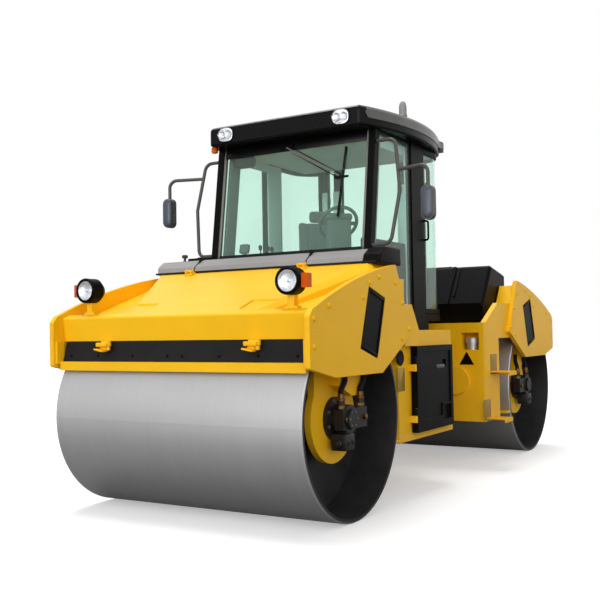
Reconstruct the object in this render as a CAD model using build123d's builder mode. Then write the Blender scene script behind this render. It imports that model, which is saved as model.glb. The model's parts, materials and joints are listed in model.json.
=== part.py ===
from build123d import *
import math
import os

# Tandem road roller, in millimetres. +X is forward, +Y is the machine's left, +Z is up.
# The ground is Z = 0 and the origin lies midway between the two drums.

# Drums
drum_diameter = 1400.0
drum_width = 2130.0
wheelbase = 4000.0
drum_shell = 30.0
drum_edge = 8.0
web_inset = 330.0
web_thickness = 30.0
hub_radius = 200.0
hub_length = 60.0
stub_radius = 90.0
bearing_gap = 0.05
drum_gap = 40.0

# Forks: side panels, covers, arms
panel_gap = 25.0
panel_thickness = 40.0
panel_front_reach_inset = 50.0
panel_front_low_drop = 368.0
panel_front_high_drop = 40.0
panel_nose = 40.0
panel_nose_rise = 45.0
panel_crown_back = 90.0
panel_crown_rise_over = 207.0
panel_back_top_inset = 170.0
panel_back_top_rise_over = 347.0
panel_back_low_outset = 85.0
panel_back_low_rise_drop = 170.0
panel_foot = 303.0
panel_foot_back = 320.0
panel_foot_front = 370.0
panel_corner = 18.0
flange_depth = 90.0
flange_width = 20.0
flange_low_drop = 348.0
cover_pocket = 15.0
cover_thickness = 9.0
cover_gap = 2.0
cover_top = (-125.0, 174.0)
cover_inner = (-385.0, 95.0)
cover_foot = (-245.0, -337.0)
cover_outer = (19.0, -258.0)
arm_inset = 165.0
arm_thickness = 50.0
arm_radius = 310.0
arm_neck = 260.0
arm_top = 560.0
arm_top_half = 250.0
gusset_depth = 80.0
gusset_low = 130.0
gusset_toe = 150.0
gusset_front = 60.0
gusset_back = 400.0
gusset_slant = 230.0
outrigger_low_drop = 410.0
outrigger_high_drop = 210.0
outrigger_front = 320.0
outrigger_back = 320.0

# Drum drive motors and hoses
motor_flange_radius = 150.0
motor_flange = 30.0
motor_radius = 100.0
motor_length = 105.0
port_block = 70.0
hose_radius = 19.0
hose_bend = 60.0
hose_spread = 140.0
hose_shift = 70.0
fitting_radius = 27.0
fitting_height = 55.0
motor_cap_radius = 70.0
motor_cap = 25.0

# Front beam, hood, scrapers
beam_front_inset = 140.0
beam_lean = 22.0
beam_low_drop = 182.0
beam_high_drop = 7.0
beam_depth = 130.0
hood_top_rise = 500.0
tank_crest_drop = 65.0
tank_crest_length = 130.0
hood_rear_drop = 100.0
hood_trough = 110.0
hood_trough_front = 60.0
hood_bevel = 42.0
hood_top_inset = 60.0
hood_side_rate = 0.51
pocket_back = 200.0
pocket_front = 30.0
pocket_depth = 12.0
pocket_inner = 420.0
pocket_outer = 910.0
beam_bend = 20.0
scraper_thickness = 25.0
scraper_low_drop = 397.0
scraper_high_drop = 331.0
scraper_setback = 20.0
mat_tuck = 20.0
mat_thickness = 12.0
mat_inset = 6.0
rear_blade = 22.0
rear_blade_gap = 10.0
rear_blade_rise = 20.0
nozzle_offset = 650.0
nozzle_width = 60.0
nozzle_depth = 40.0
nozzle_height = 70.0

# Front frame and cab platform
frame_clearance = 440.0
front_deck_drop = 140.0
frame_rear_x = 130.0
frame_front_gap = 90.0
shoulder_top_over = 200.0
shoulder_tail = 270.0
shoulder_slope = 130.0
shoulder_foot_drop = 120.0
shoulder_thickness = 90.0
tunnel_half = 420.0
tunnel_top = 860.0
tunnel_length = 690.0
bay_depth = 330.0
bay_wall = 40.0
service_door_thickness = 60.0
service_door_rear = 120.0
service_door_length = 735.0
service_door_low = 500.0
service_door_high_drop = 125.0
service_gap = 6.0
service_skin = 14.0
service_border = 48.0
service_recess = 10.0
latch_width = 75.0
latch_height = 60.0
latch_depth = 26.0
latch_inset = 130.0
latch_drop = 120.0
hatch_width = 175.0
hatch_height = 120.0
hatch_inset = 45.0
hatch_rise = 60.0
hatch_rim = 16.0
lashing_y = 760.0
lashing_z = 560.0
lashing_reach = 45.0
lashing_radius = 45.0
lashing_eye = 24.0
lashing_thickness = 30.0

# Articulation joint and steering cylinder
pivot_x = -205.0
ear_radius = 150.0
ear_thickness = 60.0
lower_ear = 540.0
upper_ear = 940.0
pin_radius = 60.0
pin_head = 80.0
pin_head_height = 20.0
joint_gap = 6.0
hitch_half = 120.0
hitch_flange_half = 300.0
hitch_flange = 40.0
cylinder_offset = 280.0
cylinder_anchor_x = 600.0
cylinder_level = 740.0
barrel_radius = 48.0
barrel_length = 470.0
barrel_wall = 14.0
rod_radius = 24.0
rod_inside = 205.0
eye_radius = 42.0
eye_thickness = 44.0
lug_thickness = 20.0
lug_gap = 5.0

# Rear frame, tank, engine
rear_front_x = -530.0
rear_box_length = 420.0
rear_deck_drop = 80.0
rear_bridge_length = 500.0
rear_shoulder_low_drop = 150.0
rear_shoulder_width = 140.0
rear_shoulder_end = 600.0
fin_rise = 190.0
fin_setback = 60.0
fin_thickness = 50.0
filler_recess = 135.0
filler_width = 170.0
filler_height = 160.0
filler_y_inset = 133.0
filler_z_drop = 173.0
filler_neck_radius = 48.0
filler_neck = 62.0
filler_cap_radius = 62.0
filler_cap_height = 40.0
boss_radius = 130.0
boss_height = 25.0
boss_y_inset = 275.0
boss_z = 820.0
sign_side = 140.0
sign_thickness = 5.0
sign_y_inset = 168.0
sign_z_drop = 350.0
step_length = 210.0
upper_step_setback = 165.0
lower_step_setback = 25.0
step_reach = 185.0
step_thickness = 10.0
step_fold = 38.0
upper_step = 900.0
lower_step = 475.0
hood_gap = 10.0
engine_front = 225.0
engine_length = 390.0
engine_half = 560.0
engine_height = 360.0
bonnet_rise = 580.0
bonnet_upright = 185.0
bonnet_lean = 270.0
bonnet_corner = 45.0
bonnet_rib_y = 560.0
bonnet_rib = 40.0
bonnet_rib_rise = 16.0
bonnet_back_x = -1620.0
bonnet_back_rise = 505.0
bonnet_skin = 25.0

# Cab
cab_half = 780.0
cab_front_x = 1145.0
cab_rear_x = -450.0
cab_floor = 140.0
cab_step_up = 85.0
cab_step_x = 20.0
post = 60.0
cab_corner = 250.0
bulkhead = 50.0
screen_sill = 645.0
cab_inside_top = 1630.0
screen_lean = 135.0
a_post = 72.0
b_post = 230.0
b_post_x = 100.0
c_post = 60.0
rear_sill = 460.0
rear_post_offset_inset = 180.0
rear_post = 90.0
glass = 8.0
wiper_pivot_y = -60.0
wiper_pivot_drop = 60.0
wiper_joint_y = 490.0
wiper_joint_drop = 380.0
wiper_spread = 35.0
wiper_link = 130.0
wiper_boss = 46.0
wiper_standoff = 22.0
wiper_bar = 9.0
wiper_blade_lean = 24.0
wiper_blade_up = 255.0
wiper_blade_down = 330.0
glass_setback = 18.0
door_gap = 6.0
door_frame = 42.0
door_thickness = 45.0
door_setback = 5.0
handle_rise = 660.0
handle_height = 170.0
handle_reach = 42.0
handle_radius = 9.0
roof_thickness = 165.0
roof_crown = 40.0
roof_brim = 18.0
roof_front_x = 1200.0
roof_rear_x = -500.0
roof_wide_x = 350.0
roof_front_half_drop = 45.0
roof_half_over = 110.0
roof_rear_half_drop = 80.0
roof_corner = 160.0
roof_front_corner_round = 30.0

# Cab fittings
roof_lamp_y_inset = 170.0
rear_lamp_y_inset = 260.0
eave_lamp = 95.0
eave_lamp_x = -430.0
eave_lamp_y_over = 75.0
roof_lamp_width = 150.0
roof_lamp_height = 104.0
roof_lamp_round = 20.0
roof_lamp_depth = 24.0
rail_radius = 15.0
rail_reach = 220.0
rail_tuck = 60.0
rail_bend = 70.0
rail_top = 1530.0
rail_low = 680.0
left_arm_rise = 1270.0
right_arm_rise = 1395.0
mirror_reach = 490.0
mirror_forward = 100.0
mirror_drop = 165.0
mirror_width = 100.0
mirror_height = 265.0
mirror_depth = 60.0
mirror_round = 45.0
beacon_x = 350.0
beacon_y_inset = 60.0
beacon_base_radius = 48.0
beacon_base = 30.0
beacon_radius = 34.0
beacon_height = 205.0
wiper_half = 12.0
wiper_thickness = 14.0
seat_x = 60.0
seat_y = -250.0
seat_width = 470.0
seat_depth = 480.0
seat_plinth = 300.0
seat_turn = 45.0
plinth_half = 150.0
headrest = 150.0
headrest_half = 120.0
armrest_width = 55.0
armrest_rise = 130.0
armrest_reach = 120.0
cushion = 120.0
backrest = 480.0
backrest_thickness = 110.0
console_reach = 430.0
console_width = 90.0
console_height = 800.0
console_thickness = 90.0
wheel_radius = 170.0
wheel_tilt = 50.0
wheel_rim = 16.0

# Cowl and lamps
cowl_inset = 30.0
cowl_front = 425.0
cowl_rise = 115.0
cowl_shoulder = 60.0
cowl_round = 70.0
cowl_groove = 14.0
cowl_latch_left = 430.0
cowl_latch_right = -650.0
lamp_y_inset = 200.0
lamp_forward_inset = 176.0
lamp_rise_over = 195.0
lamp_radius = 92.0
lamp_depth = 150.0
lamp_rim = 100.0
lamp_taper = 34.0
lamp_stem = 50.0
lamp_foot = 18.0
lens_radius = 74.0
lens_depth = 22.0
indicator_back = 25.0
indicator_width = 46.0
indicator_height = 95.0
indicator_depth = 56.0
tail_lamp_width = 220.0
tail_lamp_height = 90.0
tail_lamp_depth = 45.0

# Hinges of doors and bonnet
hinge_pin = 8.0
hinge_knuckle = 14.0
hinge_height = 110.0
hinge_leaf = 60.0
hinge_clear = 2.0
cab_hinge_low = 250.0
cab_hinge_high = 1150.0
service_hinge_low = 80.0
service_hinge_high = 480.0
bonnet_hinge_y = 700.0
scraper_arm_y = 600.0
scraper_arm_width = 80.0

# Derived positions
axle_x = wheelbase / 2
axle_z = drum_diameter / 2
drum_radius = drum_diameter / 2
drum_end = drum_width / 2
arch_radius = drum_radius + drum_gap
arch_top = axle_z + arch_radius
panel_front_low = arch_radius - panel_front_low_drop
panel_front_high = arch_radius - panel_front_high_drop
panel_crown_rise = arch_radius + panel_crown_rise_over
panel_back_top_rise = arch_radius + panel_back_top_rise_over
panel_back_low_rise = arch_radius - panel_back_low_rise_drop
flange_low = arch_radius - flange_low_drop
beam_low = arch_radius - beam_low_drop
beam_high = arch_radius - beam_high_drop
scraper_low = arch_radius - scraper_low_drop
scraper_high = arch_radius - scraper_high_drop
outrigger_low = arch_radius - outrigger_low_drop
outrigger_high = arch_radius - outrigger_high_drop
lamp_rise = arch_radius + lamp_rise_over
panel_front_reach = arch_radius - panel_front_reach_inset
beam_front = arch_radius - beam_front_inset
lamp_forward = arch_radius - lamp_forward_inset
panel_back_low = arch_radius + panel_back_low_outset
panel_back_top = arch_radius - panel_back_top_inset
front_deck = arch_top - front_deck_drop
rear_deck = arch_top - rear_deck_drop
shoulder_top = front_deck + shoulder_top_over
shoulder_foot = front_deck - shoulder_foot_drop
service_door_high = front_deck - service_door_high_drop
rear_shoulder_low = rear_deck - rear_shoulder_low_drop
filler_z = rear_deck - filler_z_drop
sign_z = rear_deck - sign_z_drop
roof_half = cab_half + roof_half_over
roof_front_half = cab_half - roof_front_half_drop
roof_rear_half = cab_half - roof_rear_half_drop
beacon_y = cab_half - beacon_y_inset
roof_lamp_y = roof_front_half - roof_lamp_y_inset
rear_lamp_y = roof_rear_half - rear_lamp_y_inset
eave_lamp_y = roof_rear_half + eave_lamp_y_over
panel_inner = drum_end + panel_gap
filler_y = panel_inner - filler_y_inset
boss_y = panel_inner - boss_y_inset
sign_y = panel_inner - sign_y_inset
lamp_y = panel_inner - lamp_y_inset
overall_half_width = panel_inner + panel_thickness
web_outer = drum_end - web_inset
arm_outer = drum_end - arm_inset
arm_inner = arm_outer - arm_thickness
frame_front_x = axle_x - drum_radius - frame_front_gap
service_door_x0 = frame_rear_x + service_door_rear
service_door_x1 = service_door_x0 + service_door_length
front_half = panel_inner - service_door_thickness
service_face = panel_inner
rear_half = panel_inner
beam_half = panel_inner
bar_half = panel_inner - flange_width
mat_half = bar_half - mat_inset
cowl_half = panel_inner - cowl_inset
rear_shoulder_inner = panel_inner - rear_shoulder_width
bonnet_half = rear_shoulder_inner - hood_gap
service_hinge_x = service_door_x1 + hinge_knuckle + hinge_clear
service_hinge_y = service_face - hinge_knuckle
cab_floor_top = front_deck + cab_floor
cab_sill = front_deck + screen_sill
cab_top = front_deck + cab_inside_top
cab_inner = cab_half - post
cab_bend_x = cab_rear_x + cab_corner
cab_bend_y = cab_half - cab_corner
rear_post_offset = cab_bend_y - rear_post_offset_inset
cab_hinge_x = cab_rear_x - hinge_knuckle - hinge_clear
cab_hinge_y = cab_bend_y - door_gap / 2
roof_top = cab_top + roof_thickness
hood_top_x = frame_front_x + cowl_front - cowl_shoulder
hood_top_z = front_deck + hood_top_rise
rear_box_x = rear_front_x - rear_box_length
bonnet_front_x = rear_box_x


def side_plate(points, y_from, y_to, mode=Mode.ADD):
    """A flat plate with an outline in X and Z, reaching from one Y to another."""
    with BuildSketch(Plane.XZ.offset(-y_from)) as outline:
        with BuildLine():
            Polyline(*points, close=True)
        make_face()
    extrude(outline.sketch, amount=y_from - y_to, mode=mode)


def block(x_span, y_span, z_span, mode=Mode.ADD):
    """A box given by its two ends along each axis."""
    spans = (x_span, y_span, z_span)
    centre = tuple((low + high) / 2 for low, high in spans)
    size = tuple(high - low for low, high in spans)
    with Locations(centre):
        Box(*size, mode=mode)


def pin_along_y(x, z, radius, y_from, y_to, mode=Mode.ADD):
    """A round bar across the machine."""
    with BuildSketch(Plane.XZ.offset(-y_from)) as disc:
        with Locations((x, z)):
            Circle(radius)
    extrude(disc.sketch, amount=y_from - y_to, mode=mode)


def pin_along_z(x, y, radius, z_from, z_to, mode=Mode.ADD):
    """An upright round bar."""
    with BuildSketch(Plane.XY.offset(z_from)) as disc:
        with Locations((x, y)):
            Circle(radius)
    extrude(disc.sketch, amount=z_to - z_from, mode=mode)


def pin_along_x(y, z, radius, x_from, x_to, mode=Mode.ADD):
    """A round bar along the machine."""
    with BuildSketch(Plane.YZ.offset(x_from)) as disc:
        with Locations((y, z)):
            Circle(radius)
    extrude(disc.sketch, amount=x_to - x_from, mode=mode)


def tube(points, radius, bend):
    """A round bar bent along a path of straight runs and arcs."""
    with BuildLine() as path:
        FilletPolyline(*points, radius=bend)
    with BuildSketch(Plane(path.line @ 0, z_dir=path.line % 0)) as ring:
        Circle(radius)
    sweep(ring.sketch, path=path.line)


def hinge_fixed(x, y, z):
    """The lower knuckle of an upright hinge, with the pin that stands out of it."""
    pin_along_z(x, y, hinge_knuckle, z, z + hinge_height / 2 - hinge_clear / 2)
    pin_along_z(x, y, hinge_pin, z, z + hinge_height)


def hinge_moving(x, y, z):
    """The upper knuckle, bored to turn on the pin."""
    low = z + hinge_height / 2 + hinge_clear / 2
    pin_along_z(x, y, hinge_knuckle, low, z + hinge_height)
    pin_along_z(x, y, hinge_pin + bearing_gap, low, z + hinge_height, Mode.SUBTRACT)


def at_axle(point):
    """A point given from the front axle, as X and Z."""
    return (axle_x + point[0], axle_z + point[1])


# Drums: a steel shell with a web near each end and a bored hub
web_mid = web_outer - web_thickness / 2
hub_mid = web_outer + hub_length / 2
bore_radius = stub_radius + bearing_gap
with BuildPart() as front_drum:
    with BuildSketch(Plane.XY.offset(axle_z)):
        with Locations((axle_x + drum_radius - drum_shell / 2, 0)):
            Rectangle(drum_shell, drum_width)
        outer_corners = [v for v in vertices() if v.X > axle_x + drum_radius - drum_shell / 2]
        chamfer(outer_corners, length=drum_edge)
        web_reach = drum_radius - drum_shell - bore_radius
        with Locations((axle_x + bore_radius + web_reach / 2, web_mid)):
            Rectangle(web_reach, web_thickness)
        with Locations((axle_x + bore_radius + web_reach / 2, -web_mid)):
            Rectangle(web_reach, web_thickness)
        hub_wall = hub_radius - bore_radius
        with Locations((axle_x + bore_radius + hub_wall / 2, hub_mid)):
            Rectangle(hub_wall, hub_length)
        with Locations((axle_x + bore_radius + hub_wall / 2, -hub_mid)):
            Rectangle(hub_wall, hub_length)
    revolve(axis=Axis((axle_x, 0, axle_z), (0, 1, 0)))
with BuildPart() as rear_drum:
    mirror(front_drum.part, about=Plane.YZ, mode=Mode.ADD)

# Support arms: a round-ended plate inside each drum end, with a stub axle and an outrigger
# that reaches out to the side panel
with BuildPart() as front_arms:
    pin_along_y(axle_x, axle_z, arm_radius, arm_inner, arm_outer)
    neck = [
        at_axle((arm_neck, 0)),
        at_axle((arm_neck, arm_neck)),
        at_axle((arm_top_half, outrigger_high)),
        at_axle((-arm_top_half, outrigger_high)),
        at_axle((-arm_neck, arm_neck)),
        at_axle((-arm_neck, 0)),
    ]
    side_plate(neck, arm_inner, arm_outer)
    gusset = [
        at_axle((gusset_front, outrigger_high)),
        at_axle((gusset_front, gusset_slant)),
        at_axle((-gusset_low, gusset_toe)),
        at_axle((-gusset_slant, gusset_toe)),
        at_axle((-outrigger_back, outrigger_low)),
        at_axle((-outrigger_back, outrigger_high)),
    ]
    side_plate(gusset, arm_outer, arm_outer + gusset_depth)
    outrigger = [
        at_axle((outrigger_front, outrigger_low)),
        at_axle((outrigger_front, outrigger_high)),
        at_axle((-outrigger_back, outrigger_high)),
        at_axle((-outrigger_back, outrigger_low)),
    ]
    side_plate(outrigger, arm_outer, panel_inner)
    stub_inner = web_outer - web_thickness
    pin_along_y(axle_x, axle_z, stub_radius, stub_inner, arm_inner)
    mirror(about=Plane.XZ)
with BuildPart() as rear_arms:
    mirror(front_arms.part, about=Plane.YZ, mode=Mode.ADD)

# Side panels: flat plates with a return flange at the outer end and a pocket for the black cover
panel_nose_top = at_axle((panel_front_reach - panel_nose, panel_front_high + panel_nose_rise))
panel_crown = at_axle((panel_crown_back, panel_crown_rise))
panel_tip = at_axle((-panel_back_top, panel_back_top_rise))
cover_corners = (cover_top, cover_inner, cover_foot, cover_outer)
cover_outline = [at_axle((x, arch_radius + rise)) for x, rise in cover_corners]
with BuildPart() as front_side_panels:
    with BuildSketch(Plane.XZ.offset(-panel_inner)):
        with BuildLine():
            ThreePointArc(panel_nose_top, panel_crown, panel_tip)
            Polyline(
                panel_tip,
                at_axle((-panel_back_low, panel_back_low_rise)),
                at_axle((-panel_foot_back, panel_foot)),
                at_axle((panel_foot_front, panel_foot)),
                at_axle((panel_front_reach, panel_front_low)),
                at_axle((panel_front_reach, panel_front_high)),
                panel_nose_top,
            )
        make_face()
        fillet(vertices(), radius=panel_corner)
    extrude(amount=-panel_thickness)
    block(
        (axle_x + panel_front_reach - flange_depth, axle_x + panel_front_reach - panel_corner),
        (panel_inner - flange_width, panel_inner),
        (axle_z + flange_low, axle_z + beam_low),
    )
    side_plate(cover_outline, overall_half_width - cover_pocket, overall_half_width, Mode.SUBTRACT)
    mirror(about=Plane.XZ)
with BuildPart() as rear_side_panels:
    mirror(front_side_panels.part, about=Plane.YZ, mode=Mode.ADD)

# Black covers lying in the panel pockets
with BuildPart() as front_panel_covers:
    pocket_floor = overall_half_width - cover_pocket
    with BuildSketch(Plane.XZ.offset(-pocket_floor)):
        with BuildLine():
            Polyline(*cover_outline, close=True)
        make_face()
        offset(amount=-cover_gap, mode=Mode.REPLACE)
    extrude(amount=-cover_thickness)
    mirror(about=Plane.XZ)
with BuildPart() as rear_panel_covers:
    mirror(front_panel_covers.part, about=Plane.YZ, mode=Mode.ADD)

# Front beam between the panels
beam_back = beam_front - beam_depth
beam_outline = [
    at_axle((beam_front - beam_lean, beam_low)),
    at_axle((beam_front, beam_high)),
    at_axle((beam_front - beam_depth / 2, beam_high + beam_lean)),
    at_axle((beam_back, beam_high + beam_lean)),
    at_axle((beam_back, beam_low + beam_lean)),
]
lamp_x = axle_x + lamp_forward
lamp_z = axle_z + lamp_rise
stem_x = axle_x + beam_back + lamp_stem / 2
stem_foot = axle_z + beam_high + beam_lean
with BuildPart() as front_beam:
    with BuildSketch(Plane.XZ.offset(beam_half)):
        with BuildLine():
            Polyline(*beam_outline, close=True)
        make_face()
        bend_corner = vertices().sort_by(Axis.X)[-1]
        fillet(bend_corner, radius=beam_bend)
    extrude(amount=-2 * beam_half)
with BuildPart() as rear_beam:
    mirror(front_beam.part, about=Plane.YZ, mode=Mode.ADD)

# Stems that carry the headlamps
with BuildPart() as lamp_brackets:
    stem_top = lamp_z - lamp_radius
    for side in (1, -1):
        stem_y = (side * lamp_y - lamp_stem / 2, side * lamp_y + lamp_stem / 2)
        block((stem_x - lamp_stem / 2, stem_x + lamp_stem / 2), stem_y, (stem_foot, stem_top))
        foot_y = (side * lamp_y - lamp_stem, side * lamp_y + lamp_stem)
        block((stem_x - lamp_stem / 2, stem_x + lamp_stem / 2), foot_y, (stem_foot, stem_foot + lamp_foot))

# Front hood: the water tank over the drum. Its underside arches over the drum, and its raised top
# narrows towards the front, with a low trough at each side and a shelf behind each lamp
arch_rise = beam_low + beam_lean
arch_half = math.sqrt(arch_radius**2 - arch_rise**2)
hood_back_low = front_deck - hood_rear_drop
hood_arch_back_rise = hood_back_low - axle_z
hood_arch_back = math.sqrt(arch_radius**2 - hood_arch_back_rise**2)
hood_front = at_axle((beam_back, beam_high + beam_lean))
hood_crest = (hood_top_x, hood_top_z)
trough_front = (hood_front[0], hood_front[1] - hood_trough_front)
trough_crest = (hood_top_x, hood_top_z - hood_trough)
trough_back = (frame_front_x, hood_top_z - hood_trough)
with BuildPart() as front_hood:
    top_slab = [trough_back, (frame_front_x, hood_top_z), hood_crest, hood_front, trough_front, trough_crest]
    side_plate(top_slab, -panel_inner, panel_inner)
    crest_half = panel_inner - hood_top_inset
    nose_half = crest_half - hood_side_rate * (hood_front[0] - hood_top_x)
    top_plan = [(frame_front_x, crest_half), (hood_top_x, crest_half), (hood_front[0], nose_half)]
    with BuildSketch(Plane.XY.offset(axle_z)) as top_shape:
        with BuildLine():
            Polyline(*top_plan, *[(x, -y) for x, y in reversed(top_plan)], close=True)
        make_face()
    extrude(top_shape.sketch, amount=hood_top_z, mode=Mode.INTERSECT)
    side_levels = edges().filter_by(Axis.Y, reverse=True).filter_by(Axis.Z, reverse=True).group_by(Axis.Z)
    chamfer(side_levels[-1] + side_levels[1], length=hood_bevel)
    hood_fall = (hood_top_z - hood_front[1]) / (hood_front[0] - hood_top_x)
    pocket_x = (hood_front[0] - pocket_back, hood_front[0] - pocket_front)
    pocket_z = [hood_front[1] + hood_fall * (hood_front[0] - x) for x in pocket_x]
    pocket = [
        (pocket_x[0], pocket_z[0] - pocket_depth),
        (pocket_x[0], pocket_z[0] + pocket_depth),
        (pocket_x[1], pocket_z[1] + pocket_depth),
        (pocket_x[1], pocket_z[1] - pocket_depth),
    ]
    side_plate(pocket, pocket_inner, pocket_outer, Mode.SUBTRACT)
    side_plate(pocket, -pocket_outer, -pocket_inner, Mode.SUBTRACT)
    with BuildSketch(Plane.XZ.offset(panel_inner)) as tank_shape:
        with BuildLine():
            Polyline(
                at_axle((-hood_arch_back, hood_arch_back_rise)),
                (frame_front_x, hood_back_low),
                trough_back,
                trough_crest,
                trough_front,
                at_axle((beam_back, arch_rise)),
                at_axle((arch_half, arch_rise)),
            )
            ThreePointArc(
                at_axle((arch_half, arch_rise)),
                at_axle((0, arch_radius)),
                at_axle((-hood_arch_back, hood_arch_back_rise)),
            )
        make_face()
    extrude(tank_shape.sketch, amount=-2 * panel_inner)

# Cowl: the grey strip along the foot of the windscreen, round at its ends, with two latch grooves
with BuildPart() as cowl_strip:
    cowl_back = cab_front_x + post
    cowl_nose = hood_top_x
    cowl_outline = [
        (cowl_back, hood_top_z),
        (cowl_nose, hood_top_z),
        (cowl_nose - cowl_shoulder / 2, hood_top_z + cowl_rise - cowl_shoulder),
        (cowl_nose - 2 * cowl_shoulder, hood_top_z + cowl_rise),
        (cowl_back, hood_top_z + cowl_rise),
    ]
    side_plate(cowl_outline, -cowl_half, cowl_half)
    cowl_length = cowl_nose - cowl_back
    with BuildSketch(Plane.XY.offset(hood_top_z)) as cowl_plan:
        with Locations(((cowl_nose + cowl_back) / 2, 0)):
            RectangleRounded(cowl_length, 2 * cowl_half, cowl_round)
    extrude(cowl_plan.sketch, amount=cowl_rise, mode=Mode.INTERSECT)
    for latch_y in (cowl_latch_right, cowl_latch_left):
        groove_y = (latch_y - cowl_groove / 2, latch_y + cowl_groove / 2)
        groove_z = (hood_top_z + cowl_groove, hood_top_z + cowl_rise)
        block((cowl_back, cowl_nose), groove_y, groove_z, Mode.SUBTRACT)

# Scrapers: a bar and two brackets ahead of the drum, a blade behind it
with BuildPart() as front_scrapers:
    bar_back = axle_x + panel_front_reach - flange_depth + scraper_setback
    block(
        (bar_back, bar_back + scraper_thickness),
        (-bar_half, bar_half),
        (axle_z + scraper_low, axle_z + scraper_high),
    )
    blade_rise = frame_clearance + rear_blade_rise
    blade_tip = axle_x - math.sqrt(drum_radius**2 - (axle_z - blade_rise) ** 2) - rear_blade_gap
    block((frame_front_x, blade_tip), (-mat_half, mat_half), (blade_rise, blade_rise + rear_blade))
    mat_x1 = axle_x + beam_front - beam_lean
    mat_rate = (bar_back - mat_x1) / (beam_low - scraper_high)
    nozzle_low_x = mat_x1 + mat_rate * nozzle_height
    nozzle_outline = [
        (mat_x1, axle_z + beam_low),
        (nozzle_low_x, axle_z + beam_low - nozzle_height),
        (nozzle_low_x + nozzle_depth, axle_z + beam_low - nozzle_height),
        (mat_x1 + nozzle_depth, axle_z + beam_low),
    ]
    for side in (1, -1):
        nozzle_y = side * nozzle_offset
        side_plate(nozzle_outline, nozzle_y - nozzle_width / 2, nozzle_y + nozzle_width / 2)
with BuildPart() as rear_scrapers:
    mirror(front_scrapers.part, about=Plane.YZ, mode=Mode.ADD)
    for side in (1, -1):
        arm_y = side * scraper_arm_y
        arm_y_span = (arm_y - scraper_arm_width / 2, arm_y + scraper_arm_width / 2)
        block((-frame_front_x, rear_box_x), arm_y_span, (blade_rise, blade_rise + rear_blade))

# Black mats hanging from the beams down to the scraper bars
with BuildPart() as front_scraper_mats:
    mat_outline = [
        (bar_back - mat_thickness, axle_z + scraper_high - mat_tuck),
        (bar_back, axle_z + scraper_high - mat_tuck),
        (bar_back, axle_z + scraper_high),
        (mat_x1, axle_z + beam_low),
        (mat_x1 - mat_thickness, axle_z + beam_low),
        (bar_back - mat_thickness, axle_z + scraper_high),
    ]
    side_plate(mat_outline, -mat_half, mat_half)
with BuildPart() as rear_scraper_mats:
    mirror(front_scraper_mats.part, about=Plane.YZ, mode=Mode.ADD)

# Drum motors on the outer face of the arms: flange, body, end cap and a port block with two fittings
motor_flange_end = arm_outer + motor_flange
motor_end = motor_flange_end + motor_length
port_x = axle_x - hose_shift
hose_y = motor_end - port_block / 2
fitting_top = axle_z + port_block + fitting_height
with BuildPart() as front_drum_motors:
    pin_along_y(axle_x, axle_z, motor_flange_radius, arm_outer, motor_flange_end)
    pin_along_y(axle_x, axle_z, motor_radius, motor_flange_end, motor_end)
    pin_along_y(axle_x, axle_z, motor_cap_radius, motor_end, motor_end + motor_cap)
    block(
        (port_x - hose_spread - port_block / 2, port_x + hose_spread + port_block / 2),
        (motor_end - port_block, motor_end),
        (axle_z - port_block, axle_z + port_block),
    )
    for shift in (1, -1):
        fitting_x = port_x + shift * hose_spread
        pin_along_z(fitting_x, hose_y, fitting_radius, axle_z + port_block, fitting_top)
    mirror(about=Plane.XZ)
with BuildPart() as rear_drum_motors:
    mirror(front_drum_motors.part, about=Plane.YZ, mode=Mode.ADD)

# Hoses from the fittings up to the outrigger
hose_high = axle_z + outrigger_low
hose_mid = (fitting_top + hose_high) / 2
with BuildPart() as front_drum_hoses:
    for shift in (1, -1):
        x_low = port_x + shift * hose_spread
        x_high = x_low - hose_bend
        path_points = [
            (x_low, hose_y, fitting_top),
            (x_low, hose_y, hose_mid - hose_bend / 2),
            (x_high, hose_y, hose_mid + hose_bend / 2),
            (x_high, hose_y, hose_high),
        ]
        tube(path_points, hose_radius, hose_bend / 2)
    mirror(about=Plane.XZ)
with BuildPart() as rear_drum_hoses:
    mirror(front_drum_hoses.part, about=Plane.YZ, mode=Mode.ADD)

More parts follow.
